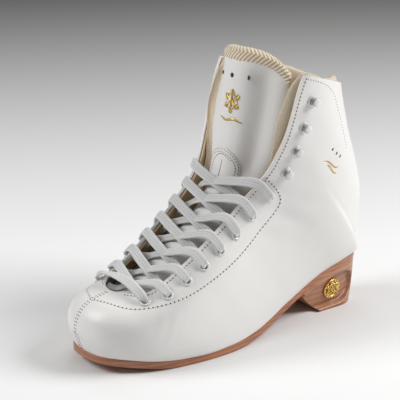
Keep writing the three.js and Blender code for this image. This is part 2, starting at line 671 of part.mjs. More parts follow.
// ---- Eyelets and hooks ----
function lathe(place, profile, segments) {
  const points = profile.map(([r, h]) => new THREE.Vector2(r, h));
  points.push(points[0].clone());
  const ring = new THREE.LatheGeometry(points, segments).toNonIndexed();
  const turn = new THREE.Quaternion().setFromUnitVectors(new THREE.Vector3(0, 1, 0), place.out);
  ring.applyQuaternion(turn).translate(place.at.x, place.at.y, place.at.z);
  return welded(ring);
}
const barrel = EYELET_BORE + 0.55;
const EYELET_PROFILE = [
  [EYELET_BORE, -MID_IN - 0.5], [barrel, -MID_IN - 0.5], [barrel, 0.35],
  [EYELET_FLANGE, 0.35], [EYELET_FLANGE - 0.5, 1], [EYELET_BORE, 1],
];
// A hook: base plate, neck on the throat side and a cap that opens to the rear, with its rivet.
const HOOK_PROFILE = [
  [-4, 0.35], [3.2, 0.35], [3.2, 1.2], [2.8, HOOK_RISE - 1], [3.2, HOOK_RISE], [-3.2, HOOK_RISE],
  [-3.2, HOOK_RISE - 1], [1.2, HOOK_RISE - 1.2], [1.2, 1.2], [-4, 1.2],
];
function hook(place) {
  const shape = new THREE.Shape(HOOK_PROFILE.map(([f, r]) => new THREE.Vector2(f, r)));
  const body = new THREE.ExtrudeGeometry(shape, { depth: HOOK_WIDTH, bevelEnabled: false });
  body.translate(0, 0, -HOOK_WIDTH / 2);
  const frame = new THREE.Matrix4().makeBasis(
    place.edgeward, place.out, new THREE.Vector3().crossVectors(place.edgeward, place.out));
  frame.setPosition(place.at);
  body.applyMatrix4(frame);
  const rivet = pin(place, 1.4, -MID_IN - 0.2, 0.8, SEGMENTS);
  return geometryOf(solid(welded(body)).add(solid(rivet)));
}
for (const [side, word] of SIDES) {
  eyelets[side].forEach((e, k) =>
    add(`eyelet_${word}_${k + 1}`, lathe(e, EYELET_PROFILE, SEGMENTS), 0xd8dad8));
  hooks[side].forEach((h, k) => add(`hook_${word}_${k + 1}`, hook(h), 0xd9d8d4));
}

// ---- Lace: one flat cord through every eyelet ----
const UNDER = MID_IN + 0.6 + LACE_THICK / 2; // depth of the cord behind the facing
const OVER = 1.2 + LACE_THICK / 2;
const boltUp = (side, u) => surface(side, u + 0.1, facing(side, u + 0.1))
  .sub(surface(side, u - 0.1, facing(side, u - 0.1))).normalize();
const stop = (at, up, half, thick) => ({ at, up, half, thick });
const FLAT = [LACE_WIDTH / 2, LACE_THICK / 2];
const FOLDED = [1.15, 0.85];
const eyeletStops = (side, k) => {
  const e = eyelets[side][k];
  const up = boltUp(side, e.u);
  const place = (depth) => e.at.clone().addScaledVector(e.out, -depth);
  return {
    over: stop(place(-OVER - (k ? 0.6 : 1.5)).addScaledVector(e.edgeward, 3.75), up, ...FLAT),
    mouth: stop(place(-OVER + 0.2).addScaledVector(e.edgeward, 0.2), up, ...FOLDED),
    end: stop(place(MID_IN - 0.4), up, ...FOLDED.map((size) => size - 0.1)),
    turn: stop(place(UNDER + 1.1).addScaledVector(e.edgeward, 1.7), up, 1.7, 0.8),
    under: stop(place(UNDER + 1.4).addScaledVector(e.edgeward, 6), up, ...FLAT),
  };
};
// Point over (or under) the facing's edge.
function edgeStop(side, u, height, out) {
  const a = facing(side, u);
  const p = surface(side, u, a).addScaledVector(normal(side, u, a), height);
  p.y -= side * out;
  return stop(p, boltUp(side, u), ...FLAT);
}
// A strand from behind one facing's row to the front of the other facing's next row.
function strand(from, k, lift) {
  const to = -from;
  const a = eyeletStops(from, k);
  const b = eyeletStops(to, k + 1);
  const ua = eyelets[from][k].u + 0.12;
  const ub = eyelets[to][k + 1].u;
  const start = edgeStop(from, ua, -UNDER - 2.9, 4.4);
  const finish = edgeStop(to, ub, OVER + 0.5, 0.4);
  const up = a.under.up;
  const out = normal(from, ua, facing(from, ua)).setY(0).normalize();
  const clear = UNDER + (k > 5 ? 2.15 : k > 4 ? -0.25 : -4.25) + (LACE_WIDTH - 7) / 2;
  const between = (q, more) => stop(
    start.at.clone().lerp(finish.at, q).addScaledVector(out, more + clear), up, ...FLAT);
  return [
    a.end, a.turn, a.under, start, between(0.3, 0.5 * lift), between(0.6, lift),
    finish, b.over, b.mouth,
  ];
}
function climb(side) {
  let from = side;
  const stops = [];
  for (let k = 0; k < EYELETS - 1; k++) {
    stops.push(...strand(from, k, (k + (side > 0 ? 1 : 0)) % 2 ? 2.6 : 0));
    from = -from;
  }
  const last = eyeletStops(from, EYELETS - 1);
  const tuck = last.turn.at.clone().addScaledVector(last.turn.up, 9)
    .addScaledVector(eyelets[from][EYELETS - 1].out, -1.4);
  stops.push(last.end, last.turn, stop(tuck, last.turn.up.clone(), 1.6, 1));
  const outward = eyelets[from][EYELETS - 1].edgeward;
  stops[stops.length - 1].up = outward;
  stops[stops.length - 2].up = outward;
  return stops;
}
const first = { 1: eyeletStops(1, 0), [-1]: eyeletStops(-1, 0) };
const barUp = first[1].over.up;
const middleBar = [-1, 0, 1].map((s) => {
  const p = first[1].over.at.clone().lerp(first[-1].over.at, 0.5 - 0.28 * s);
  p.z += s === 0 ? 6.5 : 4.8;
  return stop(p, barUp, ...FLAT);
});
const route = [
  ...climb(-1).reverse(),
  first[-1].mouth, first[-1].over, ...middleBar, first[1].over, first[1].mouth,
  ...climb(1),
];
const LACE_STEPS = 2;
function laceRings() {
  const curve = new THREE.CatmullRomCurve3(route.map((s) => s.at), false, "centripetal");
  const rings = [];
  const count = (route.length - 1) * LACE_STEPS;
  for (let i = 0; i <= count; i++) {
    const t = i / count;
    const j = Math.min(Math.floor(t * (route.length - 1)), route.length - 2);
    const q = t * (route.length - 1) - j;
    const p = curve.getPoint(t);
    const d = curve.getTangent(t);
    const up = route[j].up.clone().lerp(route[j + 1].up, q);
    up.addScaledVector(d, -up.dot(d)).normalize();
    const thick = new THREE.Vector3().crossVectors(d, up);
    const half = mix(route[j].half, route[j + 1].half, q);
    const deep = mix(route[j].thick, route[j + 1].thick, q);
    rings.push([[1, 1], [-1, 1], [-1, -1], [1, -1]].map(([a, b]) =>
      p.clone().addScaledVector(up, a * half).addScaledVector(thick, b * deep)));
  }
  return rings;
}
add("lace", tube(laceRings()), 0xf3f4f2);

export default boot;
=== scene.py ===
# %% [markdown]
# # A laced figure-skating boot
# The boot's hard fittings, soles and leather were packed as a fixed frame of solids. This lesson
# loads that frame and builds the finished looks around it, piece by piece: leather, lining,
# tongue, lace, hooks and heel. Shapes are worked out in millimetres and turned into metres only
# when a mesh is made.

# %% Load the frame
import math

import bmesh
import bpy
import numpy as np
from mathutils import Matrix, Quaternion, Vector


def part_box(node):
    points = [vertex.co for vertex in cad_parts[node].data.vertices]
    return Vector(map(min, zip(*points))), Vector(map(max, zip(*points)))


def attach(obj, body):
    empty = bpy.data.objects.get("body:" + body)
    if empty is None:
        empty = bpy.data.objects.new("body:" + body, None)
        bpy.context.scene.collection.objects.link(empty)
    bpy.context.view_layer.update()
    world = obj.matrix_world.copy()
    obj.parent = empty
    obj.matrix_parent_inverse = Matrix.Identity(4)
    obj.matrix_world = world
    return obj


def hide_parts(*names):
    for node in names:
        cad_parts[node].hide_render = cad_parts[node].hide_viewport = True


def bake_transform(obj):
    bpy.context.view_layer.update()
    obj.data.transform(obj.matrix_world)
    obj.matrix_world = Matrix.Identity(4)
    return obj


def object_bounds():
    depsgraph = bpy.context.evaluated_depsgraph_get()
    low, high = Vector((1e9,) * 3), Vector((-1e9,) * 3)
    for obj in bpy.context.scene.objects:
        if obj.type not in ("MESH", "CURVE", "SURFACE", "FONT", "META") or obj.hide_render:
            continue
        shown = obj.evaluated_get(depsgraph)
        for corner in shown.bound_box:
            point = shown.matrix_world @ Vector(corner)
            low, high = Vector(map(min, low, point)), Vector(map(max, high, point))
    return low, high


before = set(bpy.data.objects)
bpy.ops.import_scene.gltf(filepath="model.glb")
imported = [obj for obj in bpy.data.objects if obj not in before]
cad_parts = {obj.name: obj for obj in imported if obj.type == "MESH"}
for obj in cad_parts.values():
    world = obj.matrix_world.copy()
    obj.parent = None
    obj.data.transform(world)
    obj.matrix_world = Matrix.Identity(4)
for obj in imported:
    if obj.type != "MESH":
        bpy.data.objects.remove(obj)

CAD_LOW, CAD_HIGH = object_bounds()
MM = 0.001

# %% [markdown]
# ## Camera
# The boot is seen from its outer front corner, a little from above, with a long lens so that the
# shape stays natural. The camera looks at a point near the middle of the boot's box, and it is
# tilted by less than a degree, as a hand-set studio camera often is.

# %% Camera
AZIMUTH, ELEVATION, DISTANCE, FIELD, ROLL = 144.0, 16.72, 0.9647, 18.0, -0.9
look_at = (CAD_LOW + CAD_HIGH) / 2 + Vector((0.0134, -0.0106, -0.0073))


def direction(azimuth, elevation):
    """The way out from the boot at an azimuth and an elevation in degrees."""
    a, e = math.radians(azimuth), math.radians(elevation)
    return Vector((math.sin(a) * math.cos(e), -math.cos(a) * math.cos(e), math.sin(e)))


back = direction(AZIMUTH, ELEVATION)
camera = bpy.data.objects.new("camera", bpy.data.cameras.new("camera"))
bpy.context.scene.collection.objects.link(camera)
camera.location = look_at + back * DISTANCE
camera.rotation_mode = "QUATERNION"
upright = (-back).to_track_quat("-Z", "Y")
camera.rotation_quaternion = Quaternion(back, math.radians(ROLL)) @ upright
camera.data.sensor_fit = "HORIZONTAL"
camera.data.angle = math.radians(FIELD)
camera.data.clip_start, camera.data.clip_end = 0.05, 50
bpy.context.scene.camera = camera
print("camera at", [round(v, 3) for v in camera.location])

# %% [markdown]
# ## The last
# A boot is made round a last, the wooden foot inside it. Here the last is a list of sections from
# the toe to the collar. Each section gives its front and rear points, its half widths and how
# square it is, and smooth curves run through every column. The same list shaped the packed
# leather, so what is laid on this surface fits the frame. Two places are eased by a few
# millimetres: the back of the heel seat, and the collar's rim, which dips at the very back.

# %% Sections of the last
# front x z, half opening, rear x z, widest half widths (outer, inner), half widths at the sole
# (outer, inner), height share of the widest point, squareness, centre line y
SECTIONS = np.array([
    [225, 27, 0, 219.5, 12.4, 0, 0, 0, 0, 0.42, 2.2, -6],
    [224, 34, 0, 217.5, 12.1, 19, 15.5, 17, 14, 0.42, 2.3, -6],
    [218.5, 43.5, 0, 210.5, 11.4, 30.5, 25.5, 28, 23, 0.42, 2.4, -5.7],
    [208.5, 49.5, 0, 199, 9.8, 39.5, 34, 35.5, 30, 0.42, 2.5, -5],
    [195, 53, 0, 183, 7.5, 45.5, 40.5, 42, 36, 0.43, 2.6, -3.5],
    [174, 58.5, 27.5, 160, 5, 48, 44, 44.5, 39, 0.45, 3, -1.5],
    [152.5, 72, 30, 134, 5, 47.5, 44, 45.5, 37, 0.46, 3.3, -0.5],
    [131, 88, 32.5, 106, 6.4, 45, 42.5, 42.5, 32, 0.46, 3.5, 0],
    [114, 101.5, 34, 78, 12.5, 42, 41, 36.5, 28, 0.47, 3.6, 0],
    [101.5, 112.5, 35.5, 50, 23.5, 40.5, 40, 31.5, 26.5, 0.5, 3.7, 0],
    [91.5, 123.5, 38.5, 24, 34.5, 42, 42, 30, 27.5, 0.54, 3.7, 0],
    [84, 134, 43, 1, 41.5, 45.5, 45.5, 29.5, 28, 0.58, 3.6, 0],
    [78.5, 145, 46, -16, 44, 48.2, 48.2, 25.5, 24.5, 0.61, 3.5, 0],
    [74, 155.5, 48.3, -27, 44.5, 50.2, 50.2, 15.5, 15, 0.64, 3.4, 0],
    [70.4, 166, 49.8, -31.5, 44.5, 51.6, 51.6, 0, 0, 0.66, 3.3, 0],
    [67.2, 175.5, 50.4, -36, 59, 52.4, 52.4, 0, 0, 0.67, 3.2, 0],
    [64.5, 184.5, 50.6, -37, 86, 52.8, 52.8, 0, 0, 0.68, 3.1, 0],
    [61.8, 192.5, 50.6, -28, 118, 53, 53, 0, 0, 0.69, 3, 0],
    [59.3, 198.5, 50.5, -17, 152, 53, 53, 0, 0, 0.7, 3, 0],
    [57, 203.5, 50.3, -9.5, 184, 53, 53, 0, 0, 0.71, 3, 0]])
THROAT, SEAT_BACK, RIM = 4, 14, 19
RIM_FALL = 4.5  # how far the collar's top falls towards its back
upper_low, upper_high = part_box("upper_lateral")
LONG = (upper_high.x - upper_low.x) / MM / 262
TALL = upper_high.z / MM / 203.5
WIDE = upper_high.y / MM / 53
SECTIONS *= [LONG, TALL, WIDE, LONG, TALL, WIDE, WIDE, WIDE, WIDE, 1, 1, WIDE]
print("scale against the drawn size:", round(LONG, 3), round(WIDE, 3), round(TALL, 3))


# %% Smooth curves through the sections
def spline(values, flat=False):
    """A cubic curve through values one step apart; flat starts it with no slope."""
    values = np.asarray(values, float)
    n = len(values)
    bend, lower, rest = np.zeros(n), np.zeros(n), np.zeros(n)
    if flat:
        lower[0], rest[0] = 0.5, 3 * (values[1] - values[0])
    for i in range(1, n - 1):
        pivot = 4 - lower[i - 1]
        lower[i] = 1 / pivot
        rest[i] = (6 * (values[i + 1] - 2 * values[i] + values[i - 1]) - rest[i - 1]) / pivot
    for i in range(n - 2, -1, -1):
        bend[i] = rest[i] - lower[i] * bend[i + 1]

    def at(u):
        u = np.asarray(u, float)
        i = np.clip(np.floor(u).astype(int), 0, n - 2)
        t = u - i
        s = 1 - t
        return (s * values[i] + t * values[i + 1]
                + ((s ** 3 - s) * bend[i] + (t ** 3 - t) * bend[i + 1]) / 6)
    return at


def mix(a, b, t):
    return a + (b - a) * t


def smooth(t):
    t = np.clip(t, 0, 1)
    return t * t * (3 - 2 * t)


def angles(count, start=0.0):
    """Even angles once round."""
    return np.linspace(start, start + 2 * np.pi, count, endpoint=False)


def power(value, exponent):
    """A power that keeps the sign."""
    return np.sign(value) * np.abs(value) ** exponent


def crown():
    """The rounded front centre that each section would have if the facings met."""
    front, rear = SECTIONS[:, :2], SECTIONS[:, 3:5]
    least = np.minimum(SECTIONS[:, 5], np.where(SECTIONS[:, 6] > 0, SECTIONS[:, 6], 1))
    share, square = SECTIONS[:, 9], SECTIONS[:, 10]
    open_ = np.where(SECTIONS[:, 2] > 0, SECTIONS[:, 2] / np.maximum(least, 1), 0)
    rise_ = (1 - open_ ** square) ** (1 / square)
    reach = 1 / (share + (1 - share) * rise_)
    return mix(rear, front, reach[:, None])


CROWN = crown()
crown_x, crown_z = spline(CROWN[:, 0], True), spline(CROWN[:, 1], True)
rear_x, rear_z = spline(SECTIONS[:, 3], True), spline(SECTIONS[:, 4], True)
wide = {1: spline(SECTIONS[:, 5]), -1: spline(SECTIONS[:, 6])}
sole_half = {1: spline(SECTIONS[:, 7]), -1: spline(SECTIONS[:, 8])}
share_of, square_of = spline(SECTIONS[:, 9], True), spline(SECTIONS[:, 10], True)
middle_y = spline(SECTIONS[:, 11], True)
gap_of = spline(np.concatenate([SECTIONS[5, 2] * (0.9 + 0.02 * np.arange(5)), SECTIONS[5:, 2]]))


def opening(u):
    """Half the distance between the facings: a rounded throat, then a widening gap."""
    part = np.clip((np.asarray(u, float) - THROAT) / 0.9, 0, 1)
    return np.where(part > 0, gap_of(u) * np.sin(np.pi / 2 * part) ** 0.6, 0)


# %% [markdown]
# ## Any point of the leather
# A point of the outer surface has two addresses: u, the station from toe (0) to collar (19), and
# a, the way round from the front centre (0) past the widest place (1) to the rear or the sole
# edge (2). Depth is measured inwards from the leather's outer face.

# %% Surface, normal and depth
def surface(side, u, a):
    u, a = np.broadcast_arrays(np.asarray(u, float), np.asarray(a, float))
    w = np.maximum(0, wide[side](u))
    e = np.clip(sole_half[side](u), 0, w) * smooth((SEAT_BACK - u) / 1.2)
    share, n = share_of(u), square_of(u)
    s, c = np.abs(np.sin(a * np.pi / 2)), np.abs(np.cos(a * np.pi / 2))
    r = (s ** n + c ** n) ** (-1 / n)
    s2 = np.sin((a - 1) * np.pi / 2)
    c2 = np.maximum(0, np.cos((a - 1) * np.pi / 2))
    front = a <= 1
    fuller = 1 + 0.15 * smooth((u - SEAT_BACK + 1) / 2)
    across = np.where(front, w * r * s, e + (w - e) * c2 ** fuller)
    along = np.where(front, share + (1 - share) * r * c, share * (1 - s2))
    return np.stack([mix(rear_x(u), crown_x(u), along), middle_y(u) + side * across,
                     mix(rear_z(u), crown_z(u), along)], -1)


def unit(v):
    return v / np.maximum(np.linalg.norm(v, axis=-1, keepdims=True), 1e-9)


def normal(side, u, a, step=0.02):
    u = np.clip(u, 2 * step, RIM - step)
    a = np.clip(a, 2 * step, 2 - 2 * step)
    du = surface(side, u + step, a) - surface(side, u - step, a)
    da = surface(side, u, a + step) - surface(side, u, a - step)
    return unit(np.cross(da, du) * side)


def under(side, u, a, depth, keep=True):
    """A point at a depth under the leather's face, kept on its own side of the centre."""
    u, a = np.broadcast_arrays(np.asarray(u, float), np.asarray(a, float))
    p = surface(side, u, a) - normal(side, u, a) * np.asarray(depth, float)[..., None]
    p[..., 2] -= RIM_FALL * smooth((u - 17.4) / 1.6) * smooth((a - 1.25) / 0.75) ** 2
    if keep:
        centre = middle_y(u)
        inner = (p[..., 1] - centre) * side < 0
        p[..., 1] = np.where(inner, centre, p[..., 1])
    return p


def facing(side, u, more=0.0):
    """Where round the section the facing's edge lies, more millimetres further."""
    w = wide[side](u)
    half = np.clip(opening(u) + more, 0, w * 0.995)
    open_ = np.where(half > 0, half / np.maximum(w, 1e-6), 0)
    n = square_of(u)
    return np.where(half > 0, np.arctan2(open_, (1 - open_ ** n) ** (1 / n)) * 2 / np.pi, 0.0)


def inset(side, u, distance):
    """Walks round each section from the facing's edge by a distance along the surface."""
    u = np.atleast_1d(np.asarray(u, float))
    distance = np.broadcast_to(np.asarray(distance, float), u.shape)
    found = np.empty(len(u))
    for i, (v, d) in enumerate(zip(u, distance)):
        a = np.linspace(float(facing(side, v)), 2, 160)
        run = np.linalg.norm(np.diff(surface(side, v, a), axis=0), axis=1).cumsum()
        found[i] = np.interp(d, np.concatenate([[0], run]), a)
    return found


print("widest at the ball", np.round(surface(1, 5.0, 1.0), 1))

# %% [markdown]
# ## Turning grids into meshes
# Most pieces are grids of points: rows along the boot and columns round it. One helper turns a
# grid into faces, another makes the object, gives it its finish, and hides the imported nodes that
# it stands for. Pieces that need one also keep a flat map in millimetres, along and across, for
# weaves.

# %% Mesh helpers
def grid_faces(rows, cols, flip=False, around=False):
    i, j = np.meshgrid(np.arange(rows - 1), np.arange(cols if around else cols - 1), indexing="ij")
    k = (j + 1) % cols
    quads = np.stack([i * cols + j, i * cols + k, (i + 1) * cols + k, (i + 1) * cols + j], -1)
    quads = quads.reshape(-1, 4)
    return quads[:, ::-1] if flip else quads


def join(parts):
    """Several sets of points with their faces, as one set."""
    points, faces, start = [], [], 0
    for some, around_them in parts:
        points.append(some)
        faces += [[start + i for i in face] for face in around_them]
        start += len(some)
    return np.concatenate(points), faces


def reworked(mesh, operation):
    work = bmesh.new()
    work.from_mesh(mesh)
    operation(work)
    work.to_mesh(mesh)
    work.free()


def run_lengths(grid):
    """Distances along the rows and across the columns of a grid, in millimetres."""
    down = np.linalg.norm(np.diff(grid, axis=0), axis=2).mean(1)
    over = np.linalg.norm(np.diff(grid, axis=1), axis=2)
    down = np.concatenate([[0], down.cumsum()])
    over = np.concatenate([np.zeros((len(grid), 1)), over.cumsum(1)], 1)
    return np.stack([np.broadcast_to(down[:, None], over.shape), over], -1)


def piece(name, points, faces, finish, body="boot", flat=None, smooth_it=True, stands_for=(),
          slot=None, weld=0.0):
    mesh = bpy.data.meshes.new(name)
    mesh.from_pydata((np.asarray(points) * MM).tolist(), [], [list(f) for f in faces])
    if flat is not None:
        layer = mesh.uv_layers.new(name="flat")
        corner = np.empty(len(mesh.loops), int)
        mesh.loops.foreach_get("vertex_index", corner)
        layer.data.foreach_set("uv", np.asarray(flat, float)[corner].astype(np.float32).ravel())
    for material in (finish if isinstance(finish, (list, tuple)) else [finish]):
        mesh.materials.append(material)
    if weld:
        reworked(mesh, lambda w: bmesh.ops.remove_doubles(w, verts=w.verts, dist=weld * MM))
    mesh.validate()
    if smooth_it:
        mesh.shade_smooth()
    made = bpy.data.objects.new(name, mesh)
    bpy.context.scene.collection.objects.link(made)
    if stands_for:
        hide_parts(*stands_for)
    if body:
        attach(made, body)
    return made


def outward(made):
    reworked(made.data, lambda w: bmesh.ops.recalc_face_normals(w, faces=w.faces))
    return made


def solidify(made, thickness, bevel=0.0, angle=50):
    wall = made.modifiers.new("wall", "SOLIDIFY")
    wall.thickness, wall.offset = thickness * MM, -1
    if bevel:
        round_edges(made, bevel, angle=angle)


def round_edges(made, width, segments=2, angle=50):
    edge = made.modifiers.new("rounded edge", "BEVEL")
    edge.width, edge.segments = width * MM, segments
    edge.limit_method, edge.angle_limit = "ANGLE", math.radians(angle)


# %% [markdown]
# ## Shared shader groups
# Leather, textile and lace each need fine relief. Two small node groups give it: one makes a
# pebbled grain, the other a herringbone weave laid on the flat map. They put out only masks and
# heights, and each material decides its own colour and gloss.

# %% Node helpers
def group(name, inputs, outputs):
    made = bpy.data.node_groups.new(name, "ShaderNodeTree")
    for label, value in inputs:
        socket = made.interface.new_socket(label, in_out="INPUT", socket_type="NodeSocketFloat")
        socket.default_value = value
    for label in outputs:
        made.interface.new_socket(label, in_out="OUTPUT", socket_type="NodeSocketFloat")
    return made, made.nodes.new("NodeGroupInput"), made.nodes.new("NodeGroupOutput")


def put(tree, socket, value):
    """Gives a socket a link from another node, or a value of its own."""
    if isinstance(value, bpy.types.NodeSocket):
        tree.links.new(value, socket)
    else:
        socket.default_value = value


def add_node(tree, kind, **inputs):
    node = tree.nodes.new("ShaderNode" + kind)
    for label, value in inputs.items():
        put(tree, node.inputs[label.replace("_", " ")], value)
    return node


def math_node(tree, operation, *values):
    node = tree.nodes.new("ShaderNodeMath")
    node.operation = operation
    for socket, value in zip(node.inputs, values):
        put(tree, socket, value)
    return node.outputs[0]


def place_of(tree, kind="Object"):
    return tree.nodes.new("ShaderNodeTexCoord").outputs[kind]


def flat_place(tree):
    """The flat map's two lengths in millimetres, as outputs X and Y."""
    return add_node(tree, "SeparateXYZ", Vector=place_of(tree, "UV")).outputs


def stretched(tree, stretch):
    return add_node(tree, "Mapping", Vector=place_of(tree), Scale=stretch).outputs[0]


def noise(tree, scale, detail=2.0, rough=0.5, stretch=(1, 1, 1)):
    return add_node(tree, "TexNoise", Vector=stretched(tree, stretch), Scale=scale, Detail=detail,
                    Roughness=rough).outputs["Fac"]


def ramp(tree, value, stops):
    node = tree.nodes.new("ShaderNodeValToRGB")
    points = node.color_ramp.elements
    while len(points) < len(stops):
        points.new(0.5)
    for point, (where, colour) in zip(points, stops):
        point.position = where
        point.color = (*colour, 1)
    tree.links.new(value, node.inputs[0])
    return node.outputs[0]


def blend_colour(tree, amount, one, two):
    node = tree.nodes.new("ShaderNodeMix")
    node.data_type = "RGBA"
    tree.links.new(amount, node.inputs["Factor"])
    for value, label in ((one, "A"), (two, "B")):
        put(tree, node.inputs[label], (*value, 1) if isinstance(value, tuple) else value)
    return node.outputs["Result"]


# %% Grain group
def grain_group():
    """Fine pebbled grain over a slower unevenness, both from 0 to 1."""
    tree, given, out = group("grain", [("Scale", 900)], ["Height", "Mottle"])
    where, scale = place_of(tree), given.outputs["Scale"]
    cells = add_node(tree, "TexVoronoi", Vector=where, Scale=scale)
    cells.feature = "SMOOTH_F1"
    fine = add_node(tree, "TexNoise", Vector=where, Scale=math_node(tree, "MULTIPLY", scale, 0.4))
    slow = add_node(tree, "TexNoise", Vector=where, Scale=32, Detail=3)
    height = math_node(tree, "MULTIPLY_ADD", fine.outputs["Fac"], 0.7, cells.outputs["Distance"])
    tree.links.new(height, out.inputs["Height"])
    tree.links.new(slow.outputs["Fac"], out.inputs["Mottle"])
    return tree


def herringbone_group():
    """Slanted ribs whose slant turns round in every band, on the flat map in millimetres."""
    tree, given, out = group("herringbone", [("Rib", 1.6), ("Band", 5.0), ("Slant", 1.0)],
                             ["Height"])
    where, (rib, width, slant) = flat_place(tree), list(given.outputs)[:3]
    zigzag = math_node(tree, "PINGPONG", math_node(tree, "DIVIDE", where["Y"], width), 1.0)
    lean = math_node(tree, "MULTIPLY", zigzag, slant)
    shifted = math_node(tree, "MULTIPLY_ADD", lean, width, where["X"])
    ribs = math_node(tree, "DIVIDE", shifted, rib)
    wave = math_node(tree, "SINE", math_node(tree, "MULTIPLY", ribs, 2 * math.pi))
    tree.links.new(math_node(tree, "MULTIPLY_ADD", wave, 0.5, 0.5), out.inputs["Height"])
    return tree


GRAIN, HERRINGBONE = grain_group(), herringbone_group()


def use(tree, which, **values):
    node = tree.nodes.new("ShaderNodeGroup")
    node.node_tree = which
    for label, value in values.items():
        node.inputs[label].default_value = value
    return node.outputs


def finish(name, rough=0.5, metal=0.0, coat=0.0, sheen=0.0):
    """A material with its Principled shader; uniform values sit on the shader's own sockets."""
    made = bpy.data.materials.new(name)
    made.use_nodes = True
    shader = made.node_tree.nodes["Principled BSDF"]
    for label, value in (("Roughness", rough), ("Metallic", metal), ("Coat Weight", coat),
                         ("Sheen Weight", sheen)):
        shader.inputs[label].default_value = value
    return made, made.node_tree, shader


def relief(tree, shader, height, strength, distance):
    bump = add_node(tree, "Bump", Strength=strength, Distance=distance * MM, Height=height)
    tree.links.new(bump.outputs[0], shader.inputs["Normal"])


# %% [markdown]
# ## The finishes
# White boot leather is coated: a smooth, slightly warm white with a soft gloss and the faintest
# pebble. The lining is a ribbed beige textile, the facings are tan perforated leather, and the
# sole and heel are waxed copper-brown leather whose layers show as fine lines.

# %% White leather
def white_leather(name, tint):
    made, tree, shader = finish(name, coat=0.12)
    shader.inputs["Coat Roughness"].default_value = 0.3
    grain = use(tree, GRAIN, Scale=1500)
    colour = blend_colour(tree, grain["Mottle"], tuple(0.965 * c for c in tint), tint)
    tree.links.new(colour, shader.inputs["Base Color"])
    rough = math_node(tree, "MULTIPLY_ADD", grain["Mottle"], 0.16, 0.34)
    tree.links.new(rough, shader.inputs["Roughness"])
    relief(tree, shader, grain["Height"], 0.14, 0.12)
    return made


def textile(name, light, dark, rib=1.6, band=5.0, slant=1.0, deep=0.5):
    made, tree, shader = finish(name, rough=0.85, sheen=0.25)
    weave = use(tree, HERRINGBONE, Rib=rib, Band=band, Slant=slant)
    height = math_node(tree, "MULTIPLY_ADD", noise(tree, 1400), 0.5, weave["Height"])
    shade = math_node(tree, "MULTIPLY", height, 0.67)
    tree.links.new(ramp(tree, shade, [(0.15, dark), (0.75, light)]), shader.inputs["Base Color"])
    relief(tree, shader, height, deep, 0.5)
    return made


def plain(name, colour, other, scale, rough=0.7, metal=0.0, bump=0.2, stretch=(1, 1, 1),
          coat=0.0):
    """A finish of two close colours mixed by noise, with the same noise as relief."""
    made, tree, shader = finish(name, rough=rough, metal=metal, coat=coat)
    speck = noise(tree, scale, 4, 0.6, stretch=stretch)
    tree.links.new(ramp(tree, speck, [(0.35, colour), (0.65, other)]), shader.inputs["Base Color"])
    relief(tree, shader, speck, bump, 0.2)
    return made


def perforated(name, colour, dark):
    """Tan leather with rows of pinholes on the flat map, each painted near black as shade inside it.
    """
    made, tree, shader = finish(name, rough=0.55)
    where, square = flat_place(tree), []
    for axis, pitch in (("X", 2.1), ("Y", 3.1)):
        part = math_node(tree, "FRACT", math_node(tree, "DIVIDE", where[axis], pitch))
        off = math_node(tree, "MULTIPLY", math_node(tree, "SUBTRACT", part, 0.5), pitch)
        square.append(math_node(tree, "MULTIPLY", off, off))
    gap = math_node(tree, "SQRT", math_node(tree, "ADD", *square))
    hole = math_node(tree, "LESS_THAN", gap, 0.42)
    mottle = noise(tree, 260, 4, 0.6, stretch=(1, 1, 0.4))
    skin = ramp(tree, mottle, [(0.3, tuple(0.78 * c for c in colour)), (0.7, colour)])
    # The pinholes take the dark colour: painted shade inside them.
    tree.links.new(blend_colour(tree, hole, skin, dark), shader.inputs["Base Color"])
    relief(tree, shader, math_node(tree, "MULTIPLY_ADD", hole, -1.0, mottle), 0.3, 0.3)
    return made


def layered(name, light, mid, dark, along, lines, contrast):
    """Stacked, waxed leather: thin layer lines that wander a little, over a mottled brown."""
    made, tree, shader = finish(name, rough=0.36, coat=0.25)
    shader.inputs["Coat Roughness"].default_value = 0.25
    wander = noise(tree, 26, 2, stretch=(1, 1, 0.6))
    band = add_node(tree, "TexWave", Vector=stretched(tree, along), Scale=lines, Distortion=5.0,
                    Detail=3.0, Detail_Scale=0.4)
    band.wave_type, band.bands_direction = "BANDS", "Z"
    streak = math_node(tree, "ADD", math_node(tree, "MULTIPLY", band.outputs["Fac"], contrast),
                       math_node(tree, "MULTIPLY", wander, 1.05 - contrast))
    tree.links.new(ramp(tree, streak, [(0.2, dark), (0.5, mid), (0.85, light)]),
                   shader.inputs["Base Color"])
    relief(tree, shader, streak, 0.25, 0.25)
    return made


LEATHER_WHITE = white_leather("white leather", (0.80, 0.785, 0.765))
TEXTILE = textile("beige textile", (0.80, 0.69, 0.53), (0.52, 0.41, 0.29))
ROLL_TEXTILE = textile("beige rolled textile", (0.83, 0.72, 0.56), (0.42, 0.32, 0.21),
                       rib=3.0, band=11.0, slant=0.8, deep=0.9)
FACING_TAN = perforated("tan facing leather", (0.60, 0.44, 0.25), (0.09, 0.055, 0.03))
SOLE_EDGE = layered("waxed sole edge", (0.47, 0.20, 0.10), (0.36, 0.135, 0.062),
                    (0.22, 0.075, 0.035), along=(0.12, 0.12, 1), lines=90, contrast=0.3)
HEEL_STACK = layered("stacked heel leather", (0.50, 0.25, 0.14), (0.36, 0.155, 0.08),
                     (0.17, 0.06, 0.033), along=(0.5, 0.2, 1), lines=60, contrast=0.2)
ENAMEL = plain("white enamel", (0.70, 0.70, 0.69), (0.76, 0.76, 0.75), 300, 0.3, 0.0, 0.05,
               coat=0.5)
GILT = plain("gilt", (0.62, 0.40, 0.10), (0.75, 0.52, 0.17), 500, 0.34, 0.85, 0.1)
# Near black: painted shade inside needle holes, vents, slits and dimples, and along a fold.
PAINTED_SHADE = plain("painted shade in holes and folds", (0.03, 0.024, 0.02), (0.05, 0.04, 0.035), 900, 0.9)
THREAD = plain("white thread", (0.70, 0.69, 0.66), (0.80, 0.79, 0.77), 2600, 0.8, bump=0.5)
